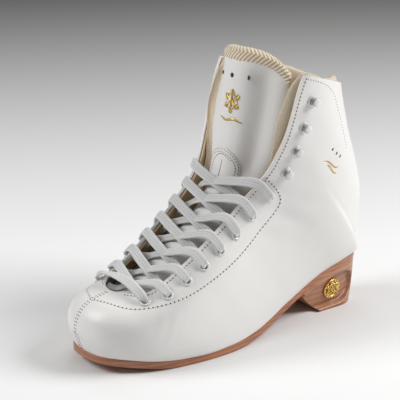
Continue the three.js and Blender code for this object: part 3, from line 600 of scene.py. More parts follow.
print("finishes made:", len(bpy.data.materials))

# %% [markdown]
# ## The leather upper
# Two leather halves wrap the last. They meet over the toe and down the back of the heel, and
# between those they open for the tongue. Both halves are drawn as one skin of fine quads, holes
# are left where the eyelets and hooks pass through, and a wall is grown inwards from it. A slow
# unevenness of about a quarter of a millimetre keeps the skin from looking machined.

# %% Fastening places
EYELETS, HOOKS = 8, 4
EYELET_FIRST, EYELET_LAST, HOOK_FIRST, HOOK_LAST = 4.42, 10.1, 11.7, 17
THROAT_INSET, EDGE_INSET = 11, 15
EYELET_HOLE, HOOK_HOLE = 2.7, 1.6
LEATHER, MIDDLE, LINING, FIT, FOAM = 2.4, 1.6, 1.1, 0.3, 3.2
MID_OUT = LEATHER + 3 * FIT
MID_IN = MID_OUT + MIDDLE
LINING_OUT = MID_IN + FIT
LINING_IN = LINING_OUT + LINING
SIDES = ((1, "lateral"), (-1, "medial"))


def even_rows(side, first, last, count):
    """Stations spaced evenly along the facing's edge."""
    marks = np.linspace(first, last, 121)
    line = surface(side, marks, facing(side, marks))
    run = np.concatenate([[0], np.linalg.norm(np.diff(line, axis=0), axis=1).cumsum()])
    return np.interp(np.linspace(0, run[-1], count), run, marks)


def fastening(side, u, distance):
    a = float(inset(side, u, distance)[0])
    at, out = surface(side, u, a), normal(side, u, a)
    edgeward = surface(side, u, a - 0.02) - at
    edgeward = unit(edgeward - out * (edgeward @ out))
    return {"u": u, "at": at, "out": out, "edgeward": edgeward}


eyelets, hooks = {}, {}
for side, _ in SIDES:
    insets = np.linspace(THROAT_INSET, EDGE_INSET, EYELETS)
    eyelets[side] = [fastening(side, u, d) for u, d in
                     zip(even_rows(side, EYELET_FIRST, EYELET_LAST, EYELETS), insets)]
    hooks[side] = [fastening(side, u, EDGE_INSET)
                   for u in even_rows(side, HOOK_FIRST, HOOK_LAST, HOOKS)]
print("first eyelet at", np.round(eyelets[1][0]["at"], 1))


# %% Leather skin
SLOW, CREASE, FOLD = 0.16, 0.09, 0.16


def settle(side, u, a):
    """A slow unevenness of the leather, with soft flex creases ahead of the throat."""
    p = surface(side, u, a)
    x, y, z = p[..., 0], p[..., 1], p[..., 2]
    slow = (np.sin(x * 0.115 + z * 0.05 + side) * np.sin(z * 0.13 - y * 0.06)
            + 0.6 * np.sin(x * 0.21 + y * 0.17 + 2) * np.sin(z * 0.19 + 1))
    flex = np.exp(-((x - 176) / 16) ** 2) * np.exp(-((z - 36) / 13) ** 2)
    crease = flex * np.sin((x + 0.35 * z) * 0.62)
    ankle = np.exp(-((x - 62) / 26) ** 2) * np.exp(-((z - 96) / 20) ** 2)
    fold = ankle * np.sin((z - 0.55 * x) * 0.30)
    return SLOW * slow + CREASE * crease + FOLD * fold


def skin(side, u, a, depth=0.0):
    return under(side, u, a, depth - settle(side, u, a))


UPPER_ROWS = np.concatenate([
    np.linspace(0, 3.8, 62)[:-1], np.linspace(3.8, 5.1, 54)[:-1], np.linspace(5.1, 14, 130)[:-1],
    np.linspace(14, RIM, 90)])
UPPER_COLUMNS = np.linspace(0, 1, 104) ** 1.15


def without_holes(points, faces, side):
    """Drops the faces that lie within a fastening's bore."""
    centre = points[faces].mean(1)
    keep = np.ones(len(faces), bool)
    for place, radius in ([(e, EYELET_HOLE) for e in eyelets[side]]
                          + [(h, HOOK_HOLE) for h in hooks[side]]):
        keep &= np.linalg.norm(centre - place["at"], axis=1) > radius
    return faces[keep]


def leather_half(side):
    start = facing(side, UPPER_ROWS)
    grid = skin(side, UPPER_ROWS[:, None], mix(start[:, None], 2, UPPER_COLUMNS))
    flat = grid.reshape(-1, 3)
    return flat, without_holes(flat, grid_faces(*grid.shape[:2], flip=side < 0), side)


upper = piece("upper", *join(leather_half(side) for side, _ in SIDES), LEATHER_WHITE,
              stands_for=("upper_lateral", "upper_medial"), slot="white_leather", weld=0.06)
solidify(upper, LEATHER - 0.15, bevel=0.55, angle=60)
print("upper faces", len(upper.data.polygons))

# %% [markdown]
# ## Facing leather, collar padding and lining
# Behind the eyelets runs a strip of tan perforated leather that shows between the laces. From the
# ankle up, the textile lining is padded. In front it stands past the leather's edge as a soft
# roll, and at the top it turns over just inside the collar. A roll is a closed tube with a
# rounded section, so it is built from rings rather than from a flat grid.

# %% Tan facings
def facing_strip(side):
    u = np.concatenate([np.linspace(5.02, 6, 12)[:-1], np.linspace(6, RIM - 0.1, 96)])
    first = facing(side, u) + 0.004
    last = inset(side, u, 23)
    a = mix(first[:, None], last[:, None], np.linspace(0, 1, 10))
    grid = under(side, u[:, None], a, MID_OUT - 0.5)
    flat = grid.reshape(-1, 3)
    quads = without_holes(flat, grid_faces(*grid.shape[:2], flip=side < 0), side)
    return flat, quads, run_lengths(grid).reshape(-1, 2)


for side, word in SIDES:
    flat, quads, lengths = facing_strip(side)
    strip = piece("facing_lining_" + word, flat, quads, FACING_TAN, flat=lengths,
                  stands_for=("facing_" + word,), slot="facing_leather")
    solidify(strip, MIDDLE + 0.3, bevel=0.3)


# %% Puffed lining inside the boot
def puff(side, u, a, start):
    top = smooth((u - 12) / 2)
    part = np.clip((a - start - 0.1) / (2.1 - start), 0, 1)
    return FOAM * top * np.sin(np.pi * part) ** 0.5


TURNED_RISE = (0.9, 7.0)  # how far the turned-over edge stands up, in front and behind


def lining_grid(side, turned=9):
    """The lining's inner face, then its turned-over top edge."""
    u = np.linspace(3.95, RIM, 120)
    start = inset(side, np.maximum(u, 5.02), mix(25, 24, u / RIM))
    end = mix(1.58, 2.0, smooth((u - SEAT_BACK) / 1.2))
    share = np.linspace(0, 1, 56)[None, :]
    a = start[:, None] + (end - start)[:, None] * share
    depth = LINING_IN + puff(side, u[:, None], a, start[:, None])
    body = under(side, u[:, None], a, depth)
    rows = []
    for angle in np.linspace(0.2, np.pi, turned):
        d = LEATHER + 0.5 + (depth[-1] - LEATHER - 0.5) * (1 + np.cos(angle)) / 2
        p = under(side, RIM, a[-1], d)
        p[:, 2] += mix(*TURNED_RISE, smooth(share[0] / 0.55)) * np.sin(angle)
        rows.append(p)
    return np.concatenate([body, np.array(rows)])


grids = {side: lining_grid(side) for side, _ in SIDES}
lining = piece("collar_lining",
               *join((grid.reshape(-1, 3), grid_faces(*grid.shape[:2], flip=side > 0))
                     for side, grid in grids.items()), TEXTILE,
               flat=np.concatenate([run_lengths(grid).reshape(-1, 2)[:, ::-1]
                                    for grid in grids.values()]),
               slot="lining_textile", weld=0.05,
               stands_for=("lining_lateral", "lining_medial", "ankle_foam_lateral",
                           "ankle_foam_medial"))
solidify(lining, 1.0)


# %% Padded rolls along the facings
def strip_ring(side, u, count=20):
    """A rounded section that hugs the leather's edge: from behind it, round, and back inside."""
    grow = smooth((u - 9.8) / 4.2)
    stand = mix(-1.2, 2.5, grow)
    lip = facing(side, u, -stand)
    rear = inset(side, u, mix(19, 24.5, grow))[0]
    thick = mix(1.3, 3.2, grow)
    middle = LINING_OUT + 0.3 + thick / 2 - 1.6 * grow
    ring = []
    for angle in angles(count, np.pi):
        forward = (1 + np.cos(angle)) / 2
        a = mix(rear, lip, forward ** 0.6)
        depth = middle + thick * 0.62 * np.sin(angle) * (0.55 + 0.45 * forward ** 0.25)
        ring.append(under(side, u, a, depth, keep=False))
    return np.array(ring)


def tube_faces(rings, count):
    """Rings joined side by side, with flat ends."""
    ends = [list(range(count))[::-1], [(rings - 1) * count + i for i in range(count)]]
    return [list(f) for f in grid_faces(rings, count, around=True)] + ends


def tube_piece(name, rings, finish_, **more):
    rings = np.asarray(rings)
    return outward(piece(name, rings.reshape(-1, 3), tube_faces(*rings.shape[:2]), finish_,
                         flat=run_lengths(rings).reshape(-1, 2), **more))


for side, word in SIDES:
    rings = [strip_ring(side, u) for u in np.linspace(9.7, RIM, 96)]
    last, middle = rings[-1], rings[-1].mean(0)
    for q in np.linspace(0.25, 1.35, 5):
        rings.append(middle + (last - middle) * math.cos(q) + [0, 0, 2.4 * math.sin(q)])
    roll = tube_piece("collar_roll_" + word, rings, TEXTILE, slot="lining_textile",
                      stands_for=("collar_lining_" + word,))
print("collar pieces made")

# %% [markdown]
# ## Tongue
# The tongue is a padded board: white leather in front, textile behind, foam between. Its sides
# curve back round the shin. It is one closed form whose thickness swells towards the middle. It
# spans the frame's joint, and it is attached to neither of the two bodies.

# %% Tongue surface
TONGUE = np.array([
    [204, 41, 20, 5], [189, 44.5, 26, 8], [174.3, 51, 31, 11], [155, 62.6, 33, 14],
    [133.8, 79, 33, 16], [115.6, 93.8, 31.5, 17], [103.4, 109, 31, 18], [96.6, 125, 33, 19.5],
    [92.5, 142, 36.4, 20.5], [89, 160, 38.4, 22], [85.5, 180, 39.5, 23],
    [82.5, 200, 40.1, 23.5], [80, 217, 40.8, 23.5]], float) * [LONG, TALL, WIDE, LONG]
TONGUE_TOP, TONGUE_DROP, TONGUE_DEEP = len(TONGUE) - 1, 0.85, 8.4
TROUGH = 6.8  # the hollow in the outer half of the tongue's face
tongue_x, tongue_z = spline(TONGUE[:, 0]), spline(TONGUE[:, 1])
tongue_half, tongue_sag = spline(TONGUE[:, 2]), spline(TONGUE[:, 3])


def tongue_at(t, k, depth):
    """A point of the tongue: t up its length, k across it from -1 to 1, depth behind its face."""
    t, k, depth = (v.astype(float) for v in np.broadcast_arrays(t, k, depth))
    h = 0.02
    rear = unit(np.stack([-(tongue_z(t + h) - tongue_z(t - h)), 0 * t,
                          tongue_x(t + h) - tongue_x(t - h)], -1))
    half, sag = tongue_half(t), tongue_sag(t)
    flatter = smooth(-k / 0.6) * smooth((t - 7) / 2) * (1 - 1.5 * smooth((t - 9.5) / 2))
    sag = sag * (1 - 0.3 * flatter)
    trough = np.exp(-((k - 0.62) / 0.25) ** 2) * smooth((t - 6.4) / 1.6)
    depth = depth + TROUGH * trough * (1 - 0.8 * smooth((t - 11.0) / 0.9))
    inward = rear.copy()
    inward[..., 1] = -(2 * sag * k) / half
    inward = unit(inward)
    shift = -4 * WIDE * np.clip(1 - t / 5, 0, 1)
    base = np.stack([tongue_x(t), shift + k * half, tongue_z(t)], -1)
    return base + rear * (sag * k * k)[..., None] + inward * depth[..., None]


def top_edge(k):
    """The station of the tongue's top edge, which falls towards its corners."""
    return TONGUE_TOP - 0.1 - TONGUE_DROP * k ** 4


def tongue_ring(s, count=72):
    c, r = np.cos(angles(count)), np.sin(angles(count))
    k = power(c, 0.55)
    depth = TONGUE_DEEP / 2 - power(r, 0.62) * (TONGUE_DEEP / 2 + 0.5)
    return tongue_at(s * top_edge(k), k * 0.985, depth)


rings = np.array([tongue_ring(s) for s in np.linspace(0.0, 1, 150)])
tongue = tube_piece("tongue", rings, [LEATHER_WHITE, TEXTILE], body=None,
                    slot="white_leather",
                    stands_for=("tongue_leather", "tongue_leather_top", "tongue_foam",
                                "tongue_foam_top", "tongue_lining", "tongue_lining_top"))
height = np.sin(angles(rings.shape[1]))
for polygon in tongue.data.polygons:
    j = min(v % rings.shape[1] for v in polygon.vertices)
    polygon.material_index = 0 if height[j] > 0.12 and height[(j + 1) % len(height)] > 0.05 else 1
print("tongue thickness", TONGUE_DEEP, "mm")


# %% Rolled textile edge over the tongue's top
def top_ring(k, count=22):
    lip = 7.0 * (1 - 0.35 * abs(k) ** 3)
    ring = []
    for angle in angles(count, np.pi):
        t = top_edge(k) + (lip * np.sin(angle) - 1.2) / 18.0
        depth = TONGUE_DEEP / 2 - np.cos(angle) * (TONGUE_DEEP / 2 + 1.5)
        ring.append(tongue_at(t, k, depth))
    return np.array(ring)


rings = np.array([top_ring(k) for k in np.linspace(-0.985, 0.985, 90)])
roll = tube_piece("tongue_top_roll", rings, ROLL_TEXTILE, body="tongue_top",
                  slot="lining_textile", stands_for=("tongue_roll",))

# %% [markdown]
# ## Lace
# The lace is a flat tubular braid. It crosses the first row as a straight bar and then zigzags
# upwards: each run leaves from behind one facing, crosses the tongue, and goes over the other
# facing's edge into the next eyelet from outside. The route is a list of stops worked out from
# the eyelets, and the braid's width, thickness and twist are carried along with it.

# %% Route of the lace
LACE_WIDTH, LACE_THICK = 7.6, 1.5
UNDER = MID_IN + 0.6 + LACE_THICK / 2
OVER = 1.2 + LACE_THICK / 2
FLAT, FOLDED = (LACE_WIDTH / 2, 1.1), (2.5, 1.05)


def edge_up(side, u):
    line = surface(side, np.array([u - 0.1, u + 0.1]), facing(side, np.array([u - 0.1, u + 0.1])))
    return unit(line[1] - line[0])


def stop(at, up, half, thick):
    return (np.asarray(at, float), np.asarray(up, float), half, thick)


def eyelet_stops(side, k):
    e = eyelets[side][k]
    up = edge_up(side, e["u"])

    def place(depth, forward=0.0):
        return e["at"] - e["out"] * depth + e["edgeward"] * forward
    return {
        "over": stop(place(-OVER - (0.6 if k else 1.5), 3.75), up, *FLAT),
        "mouth": stop(place(-OVER - 0.35, 0.1), up, *FOLDED),
        "end": stop(place(MID_IN - 0.4), up, 1.05, 0.75),
        "turn": stop(place(UNDER + 1.1, 1.7), up, 1.7, 0.8),
        "under": stop(place(UNDER + 1.4, 6), up, *FLAT),
    }


def edge_stop(side, u, height_, out):
    a = facing(side, u)
    p = surface(side, u, a) + normal(side, u, a) * height_
    p[1] -= side * out
    return stop(p, edge_up(side, u), *FLAT)


def strand(from_, k, lift):
    """From behind one facing's row to the front of the other facing's next row."""
    to = -from_
    a, b = eyelet_stops(from_, k), eyelet_stops(to, k + 1)
    ua, ub = eyelets[from_][k]["u"] + 0.12, eyelets[to][k + 1]["u"]
    start = edge_stop(from_, ua, -UNDER - 2.9, 4.4)
    end = edge_stop(to, ub, OVER + 0.5, 0.4)
    out = normal(from_, ua, facing(from_, ua))
    out[1] = 0
    out = unit(out)
    clear = 8.4 if k > 5 else 6 if k > 4 else 2

    def between(q, more):
        return stop(mix(start[0], end[0], q) + out * (more + clear), a["under"][1], *FLAT)
    return [a["end"], a["turn"], a["under"], start, between(0.3, 0.5 * lift), between(0.6, lift),
            end, b["over"], b["mouth"]]


def climb(side):
    stops, from_ = [], side
    for k in range(EYELETS - 1):
        stops += strand(from_, k, 2.6 if (k + (side > 0)) % 2 else 0)
        from_ = -from_
    last, place = eyelet_stops(from_, EYELETS - 1), eyelets[from_][EYELETS - 1]
    tuck = last["turn"][0] + last["turn"][1] * 9 - place["out"] * 1.4
    up = place["edgeward"]
    return stops + [last["end"], stop(last["turn"][0], up, 1.7, 0.8), stop(tuck, up, 1.6, 1.0)]


first = {side: eyelet_stops(side, 0) for side, _ in SIDES}
bar = []
for s in (-1, 0, 1):
    p = mix(first[1]["over"][0], first[-1]["over"][0], 0.5 - 0.28 * s)
    p[2] += 6.5 if s == 0 else 4.8
    bar.append(stop(p, first[1]["over"][1], *FLAT))
route = (climb(-1)[::-1] + [first[-1]["mouth"], first[-1]["over"]] + bar
         + [first[1]["over"], first[1]["mouth"]] + climb(1))


# %% Braid along the route
def centripetal(points, per_span):
    """A smooth curve through points that doesn't overshoot where they crowd."""
    points = np.asarray(points)
    padded = np.concatenate([[2 * points[0] - points[1]], points, [2 * points[-1] - points[-2]]])
    made, places = [], []
    for i in range(1, len(padded) - 2):
        p = padded[i - 1:i + 3]
        knots = np.concatenate([[0], np.maximum(
            np.linalg.norm(np.diff(p, axis=0), axis=1), 1e-4) ** 0.5]).cumsum()
        for q in np.arange(per_span) / per_span:
            t = mix(knots[1], knots[2], q)
            level = [list(p), [], []]
            for depth in (1, 2):
                for j in range(4 - depth):
                    lo, hi = knots[j], knots[j + depth]
                    level[depth].append(((hi - t) * level[depth - 1][j]
                                         + (t - lo) * level[depth - 1][j + 1]) / (hi - lo))
            one, two = level[2]
            made.append(((knots[2] - t) * one + (t - knots[1]) * two) / (knots[2] - knots[1]))
            places.append(i - 1 + q)
    made.append(points[-1])
    places.append(len(points) - 1)
    return np.array(made), np.array(places)


def braid_section(count=28):
    """A flat tube's section: full width, rounded sides and two lengthwise ridges."""
    across, thick = power(np.cos(angles(count)), 0.7), power(np.sin(angles(count)), 0.7)
    groove = 1 - 0.36 * np.exp(-((np.abs(across) - 0.26) / 0.15) ** 2)
    return across, thick * groove


def braid_rings(stops, per_span=7):
    line, places = centripetal([s[0] for s in stops], per_span)
    tangent = unit(np.gradient(line, axis=0))
    i = np.minimum(places.astype(int), len(stops) - 2)
    q = smooth(places - i)[:, None]
    ups, halves = np.array([s[1] for s in stops]), np.array([s[2:] for s in stops], float)
    up = mix(ups[i], ups[i + 1], q)
    up = unit(up - tangent * (up * tangent).sum(1, keepdims=True))
    size = mix(halves[i], halves[i + 1], q)
    deep = np.cross(tangent, up)
    across, thick = braid_section()
    rings = (line[:, None] + up[:, None] * (across[None, :] * size[:, :1])[..., None]
             + deep[:, None] * (thick[None, :] * size[:, 1:])[..., None])
    return rings, line


def lace_finish():
    made, tree, shader = finish("cotton braid", rough=0.85, sheen=0.35)
    weave = use(tree, HERRINGBONE, Rib=0.55, Band=1.1, Slant=0.7)
    fuzz = noise(tree, 1800, 3, 0.7)
    height_ = math_node(tree, "ADD", weave["Height"], math_node(tree, "MULTIPLY", fuzz, 1.2))
    # The braid's colour is darkened along its two lengthwise grooves: painted shade in the grooves.
    split = tree.nodes.new("ShaderNodeSeparateXYZ")
    tree.links.new(place_of(tree, "UV"), split.inputs[0])
    across = math_node(tree, "PINGPONG", split.outputs["Y"], 4.2)
    off = math_node(tree, "ABSOLUTE", math_node(tree, "SUBTRACT", across, 3.2))
    crease = math_node(tree, "MAXIMUM", math_node(tree, "MULTIPLY_ADD", off, -2.4, 0.9), 0.0)
    shade = math_node(tree, "SUBTRACT", math_node(tree, "MULTIPLY", height_, 0.45),
                      math_node(tree, "MULTIPLY", crease, 0.5))
    colour = ramp(tree, shade, [(0.0, (0.42, 0.42, 0.41)), (0.35, (0.66, 0.665, 0.66)),
                                (0.8, (0.83, 0.835, 0.83))])
    tree.links.new(colour, shader.inputs["Base Color"])
    relief(tree, shader, height_, 0.55, 0.3)
    return made


LACE_COTTON = lace_finish()
rings, lace_line = braid_rings(route)
lace = tube_piece("lace_braid", rings, LACE_COTTON, stands_for=("lace",), slot="lace_cotton")
lace_length = float(np.linalg.norm(np.diff(lace_line, axis=0), axis=1).sum())
print("lace in view", round(lace_length), "mm")

# %% [markdown]
# ## Eyelets and hooks
# An eyelet is a short barrel whose outer end is rolled over the leather. A speed hook is a spool
# opened to the rear: a riveted base plate, a waisted neck on the throat side, and a rounded cap.
# Both are stamped metal under white enamel, but the hook's neck is a dull steel grey that is
# darkened further as painted shade.

# %% Eyelets
def local_frame(place):
    """Columns: towards the facing's edge, out of the leather, and along the row of fittings."""
    forward, out = place["edgeward"], place["out"]
    return np.stack([forward, out, np.cross(forward, out)], 1)


def eyelet_rings(place, around=28):
    bore, barrel, flange = 2.3, 2.85, 4.1
    profile = [(bore, -MID_IN - 0.5), (barrel, -MID_IN - 0.5), (barrel, 0.1), (flange - 0.1, 0.05),
               (flange, 0.4), (flange - 0.35, 0.85), (3.1, 1.05), (bore + 0.15, 0.85),
               (bore, 0.4), (bore, -MID_IN - 0.5)]
    angle = angles(around)
    local = np.array([np.stack([r * np.cos(angle), np.full(around, h), r * np.sin(angle)], -1)
                      for r, h in profile])
    return place["at"] + local @ local_frame(place).T


for side, word in SIDES:
    for k, place in enumerate(eyelets[side]):
        rings = eyelet_rings(place)
        piece(f"eyelet_ring_{word}_{k + 1}", rings.reshape(-1, 3),
              grid_faces(*rings.shape[:2], around=True), ENAMEL, weld=0.001,
              stands_for=(f"eyelet_{word}_{k + 1}",), slot="white_enamel")


# %% Hooks
# The neck's dark grey is partly bare steel and partly painted shade for its shaded side.
NECK_STEEL_AND_SHADE = plain("hook neck steel and painted shade", (0.30, 0.30, 0.30), (0.38, 0.38, 0.37), 300, 0.45, 0.4, 0.05)


def rounded_plate(length, width, low, high, shift=0.0, corner=0.62, count=28, dome=0.0):
    """A plate with well-rounded corners, as rings from its underside to its top."""
    x, y = power(np.cos(angles(count)), corner), power(np.sin(angles(count)), corner)
    rings = []
    for share, h in ((0.2, low), (0.86, low), (1.0, mix(low, high, 0.35)),
                     (1.0, mix(low, high, 0.65)), (0.88, high), (0.5, high + dome),
                     (0.12, high + 1.15 * dome)):
        rings.append(np.stack([shift + x * share * length / 2, np.full(count, h),
                               y * share * width / 2], -1))
    return np.array(rings)


def hook_neck(low, high, count=16):
    """A curved wall on the throat side, pinched at mid height."""
    rings = []
    for h in np.linspace(low, high, 9):
        t = (h - low) / (high - low)
        waist = 1 - 0.5 * math.sin(math.pi * t)
        angle = np.linspace(-1.35, 1.35, count // 2)
        outer = np.stack([-1.0 + 4.1 * np.cos(angle) * (0.55 + 0.45 * waist),
                          np.full(len(angle), h), 3.7 * np.sin(angle) * waist], -1)
        inner = outer[::-1] * [1, 1, 0.72] - [1.0, 0, 0]
        rings.append(np.concatenate([outer, inner]))
    return np.array(rings)


def hook_parts():
    rise_ = 5.8
    return [rounded_plate(8.4, 8.0, 0.05, 0.75, shift=-0.4),
            hook_neck(0.6, rise_ - 1.1),
            rounded_plate(5.4, 6.2, rise_ - 1.3, rise_ - 0.4, shift=-0.5, corner=0.75, dome=0.3)]


def hook_piece(name, place, **more):
    basis = local_frame(place)
    parts = [(place["at"] + rings.reshape(-1, 3) @ basis.T, tube_faces(*rings.shape[:2]))
             for rings in hook_parts()]
    made = outward(piece(name, *join(parts), [ENAMEL, NECK_STEEL_AND_SHADE], **more))
    plate_, neck = (len(points) for points, _ in parts[:2])
    # Faces of the neck take the second finish, the grey that is partly painted shade.
    for polygon in made.data.polygons:
        polygon.material_index = int(all(plate_ <= v < plate_ + neck for v in polygon.vertices))
    return made


for side, word in SIDES:
    for k, place in enumerate(hooks[side]):
        hook_piece(f"speed_hook_{word}_{k + 1}", place, slot="white_enamel",
                   stands_for=(f"hook_{word}_{k + 1}",))
print("eyelets", 2 * EYELETS, "hooks", 2 * HOOKS)

# %% [markdown]
# ## Sole and heel
# The outsole is a thick leather board trimmed a little wider than the upper, with its edge waxed
# copper brown. The heel is a stack of leather lifts, scooped hollow on both sides and cut in a
# curve at the front. Both follow the sole line of the last.

# %% Outsole
SOLE, WELT = 5.1, 0.8


def plan(side, u, d):
    """The sole's outline seen from above, moved in by d."""
    h = 0.02
    lo, hi = np.maximum(u - h, 0.005), np.minimum(u + h, SEAT_BACK - 0.005)

    def half(v):
        return np.maximum(0, np.where(v >= SEAT_BACK, 0, sole_half[side](v)))
    dx, dy = rear_x(hi) - rear_x(lo), half(hi) - half(lo)
    run = np.hypot(dx, dy)
    return (rear_x(u) - dy / run * d,
            middle_y(u) + side * np.maximum(0.4, half(u) + dx / run * d))


MARKS = np.linspace(0, SEAT_BACK, 800)


def seat(x):
    """Height of the sole's edge at any x."""
    return np.interp(-np.asarray(x, float), -rear_x(MARKS), rear_z(MARKS))


def station_at(x):
    return np.interp(-np.asarray(x, float), -rear_x(MARKS), MARKS)


def plate(stations, d, low, high, columns):
    lx, ly = plan(1, stations, d)
    mx, my = plan(-1, stations, d)
    t = np.linspace(0, 1, columns)[None, :]
    x, y = mix(lx[:, None], mx[:, None], t), mix(ly[:, None], my[:, None], t)
    return np.stack([x, y, high(x)], -1), np.stack([x, y, low(x)], -1)


def closed_shell(top, bottom):
    rows, cols = top.shape[:2]
    n = rows * cols
    faces = [list(f) for f in grid_faces(rows, cols)]
    faces += [[v + n for v in f] for f in grid_faces(rows, cols, flip=True)]
    rim = ([i * cols for i in range(rows)] + [(rows - 1) * cols + j for j in range(1, cols)]
           + [i * cols + cols - 1 for i in range(rows - 2, -1, -1)]
           + [j for j in range(cols - 2, 0, -1)])
    faces += [[a, b, b + n, a + n] for a, b in zip(rim, rim[1:] + rim[:1])]
    return np.concatenate([top.reshape(-1, 3), bottom.reshape(-1, 3)]), faces




def sole_top(x):
    return seat(x) - 0.05


def sole_floor(x):
    return np.maximum(0, seat(x) - FIT - SOLE)


sole_rows = SEAT_BACK * (0.5 - 0.5 * np.cos(np.linspace(0, np.pi, 170)))
points, faces = closed_shell(*plate(sole_rows, -WELT, sole_floor, sole_top, 20))
sole = outward(piece("leather_sole", points, faces, SOLE_EDGE, stands_for=("outsole",),
                     slot="sole_leather"))
round_edges(sole, 0.8, 3, 40)

# %% Heel
HEEL_FRONT, HEEL_SCOOP = 9.45, 5.0
HEEL = {"front": 14 * LONG, "back": -29 * LONG, "half": 24.5 * WIDE}


def heel_side(side, f, t):
    """A point of the heel's side: f from breast to back, t from the sole down to the floor."""
    front, rear = rear_x(HEEL_FRONT), rear_x(SEAT_BACK)
    wanted = mix(front, rear, f)
    u = np.minimum(station_at(wanted), SEAT_BACK - 0.001)
    _, y = plan(side, u, -WELT)
    top = np.stack([wanted - np.where(f > 0.999, WELT, 0), y,
                    sole_floor(wanted) - 0.15 + 0 * y], -1)
    round_ = np.sqrt(np.maximum(0, 1 - np.clip((f - 0.42) / 0.58, 0, 1) ** 2.3))
    foot = np.stack([mix(HEEL["front"], HEEL["back"], f),
                     side * np.maximum(0.9, HEEL["half"] * round_), 0 * round_], -1)
    p = mix(top, foot, np.asarray(t)[..., None])
    p[..., 0] += 2.2 * np.sin(np.pi * t) * (1 - 1.6 * f)
    reach = np.where(f < 0.45, 0.35 * (f - 0.45), (f - 0.45) / 0.44)
    hollow = reach ** 2 + ((t - 0.52) / 0.4) ** 2
    depth = HEEL_SCOOP * (1 - smooth((hollow - 0.7) / 0.3)) * smooth(1.6 - 0.75 * hollow)
    p[..., 1] -= side * np.minimum(depth, np.abs(p[..., 1]) - 0.8)
    return p


def heel_ring(f, down=64, across=14):
    t = np.linspace(0, 1, down)
    one, two = heel_side(1, np.full(down, f), t), heel_side(-1, np.full(down, f), t)
    k = np.linspace(0, 1, across)[1:-1, None]
    return np.concatenate([one, mix(one[-1], two[-1], k), two[::-1], mix(two[0], one[0], k)])


shares = np.concatenate([np.linspace(0, 0.9, 84)[:-1], 1 - 0.1 * (1 - np.linspace(0, 1, 22)) ** 2])
rings = np.array([heel_ring(f) for f in shares])
heel = tube_piece("leather_heel", rings, HEEL_STACK, stands_for=("heel_block",),
                  slot="sole_leather")
round_edges(heel, 0.7, 3, 50)
print("sole and heel made")

# %% [markdown]
# ## Stitches
# A sewn seam is a row of needle holes with thread lying between them. Both are real geometry
# here: a dimple for each hole, coloured near black as painted shade inside it, and a low white
# thread between two holes. A row is a smooth curve through a few addresses on a surface, with
# holes at an even pitch along it.

# %% Rows of stitches
RING = angles(8)


class Sewing:
    """Collects holes and threads, then turns each set into one object."""

    def __init__(self):
        self.parts = {"holes": [], "thread": []}

    def add(self, kind, rings):
        self.parts[kind].append((rings.reshape(-1, 3), tube_faces(*rings.shape[:2])))

    def hole(self, at, out, along, radius=0.55, long=1.0, sides=8):
        across = np.cross(out, along)
        turn_ = angles(sides)
        circle = (along[None] * (np.cos(turn_) * radius * long)[:, None]
                  + across[None] * (np.sin(turn_) * radius)[:, None])
        self.add("holes", np.array([at + circle * r + out * h for r, h in
                                    ((0.3, -0.45), (1, -0.2), (0.9, 0.12), (0.3, 0.16))]))

    def thread(self, one, two, out, radius=0.3):
        along = unit(two - one)
        across = np.cross(out, along)
        circle = across[None] * np.cos(RING)[:, None] + out[None] * np.sin(RING)[:, None]
        rings = [mix(one, two, q) + out * rise_ + circle * radius * r for q, rise_, r in
                 ((0.1, -0.3, 0.5), (0.25, -0.05, 1), (0.75, -0.05, 1), (0.9, -0.3, 0.5))]
        self.add("thread", np.array(rings))

    def row(self, places, outs, radius=0.5, threads=True):
        along = unit(np.gradient(places, axis=0))
        for at, out, way in zip(places, outs, along):
            self.hole(at, out, unit(way - out * (way @ out)), radius)
        if threads:
            for one, two, out in zip(places, places[1:], outs):
                self.thread(one, two, out, radius * 0.62)

    def finish(self, name, body="boot"):
        made = []
        # Holes get the near-black painted shade; threads get the white thread.
        for kind, material in (("holes", PAINTED_SHADE), ("thread", THREAD)):
            if self.parts[kind]:
                made.append(outward(piece(f"{name}_{kind}", *join(self.parts[kind]), material,
                                          body=body)))
        return made


def evenly(place, address, pitch):
    """Addresses at an even pitch along a smooth curve through a few addresses."""
    address = np.asarray(address, float)
    columns = [spline(address[:, i]) for i in range(address.shape[1])]
    q = np.linspace(0, len(address) - 1, 60 * (len(address) - 1) + 1)
    run = np.linalg.norm(np.diff(place(*[c(q) for c in columns]), axis=0), axis=1).cumsum()
    q = np.interp(np.arange(0.5 * pitch, run[-1], pitch), np.concatenate([[0], run]), q)
    return [c(q) for c in columns]


def leather_row(sewing, side, address, pitch=3.1, radius=0.5, threads=True):
    u, a = evenly(lambda u, a: skin(side, u, a), address, pitch)
    sewing.row(skin(side, u, a, -0.02), normal(side, u, a), radius, threads)


CHART_U, CHART_A = np.meshgrid(np.linspace(0.03, RIM - 0.03, 640), np.linspace(0, 2, 420),
                               indexing="ij")
CHART = {side: surface(side, CHART_U, CHART_A) for side, _ in SIDES}


def address_of(side, x, z, y=None):
    """The station and the way round of the leather point nearest to a place in the side view."""
    gap = (CHART[side][..., 0] - x * LONG) ** 2 + (CHART[side][..., 2] - z * TALL) ** 2
    if y is not None:
        gap = gap + (CHART[side][..., 1] - side * y * WIDE) ** 2
    at = np.unravel_index(gap.argmin(), gap.shape)
    return CHART_U[at], CHART_A[at]


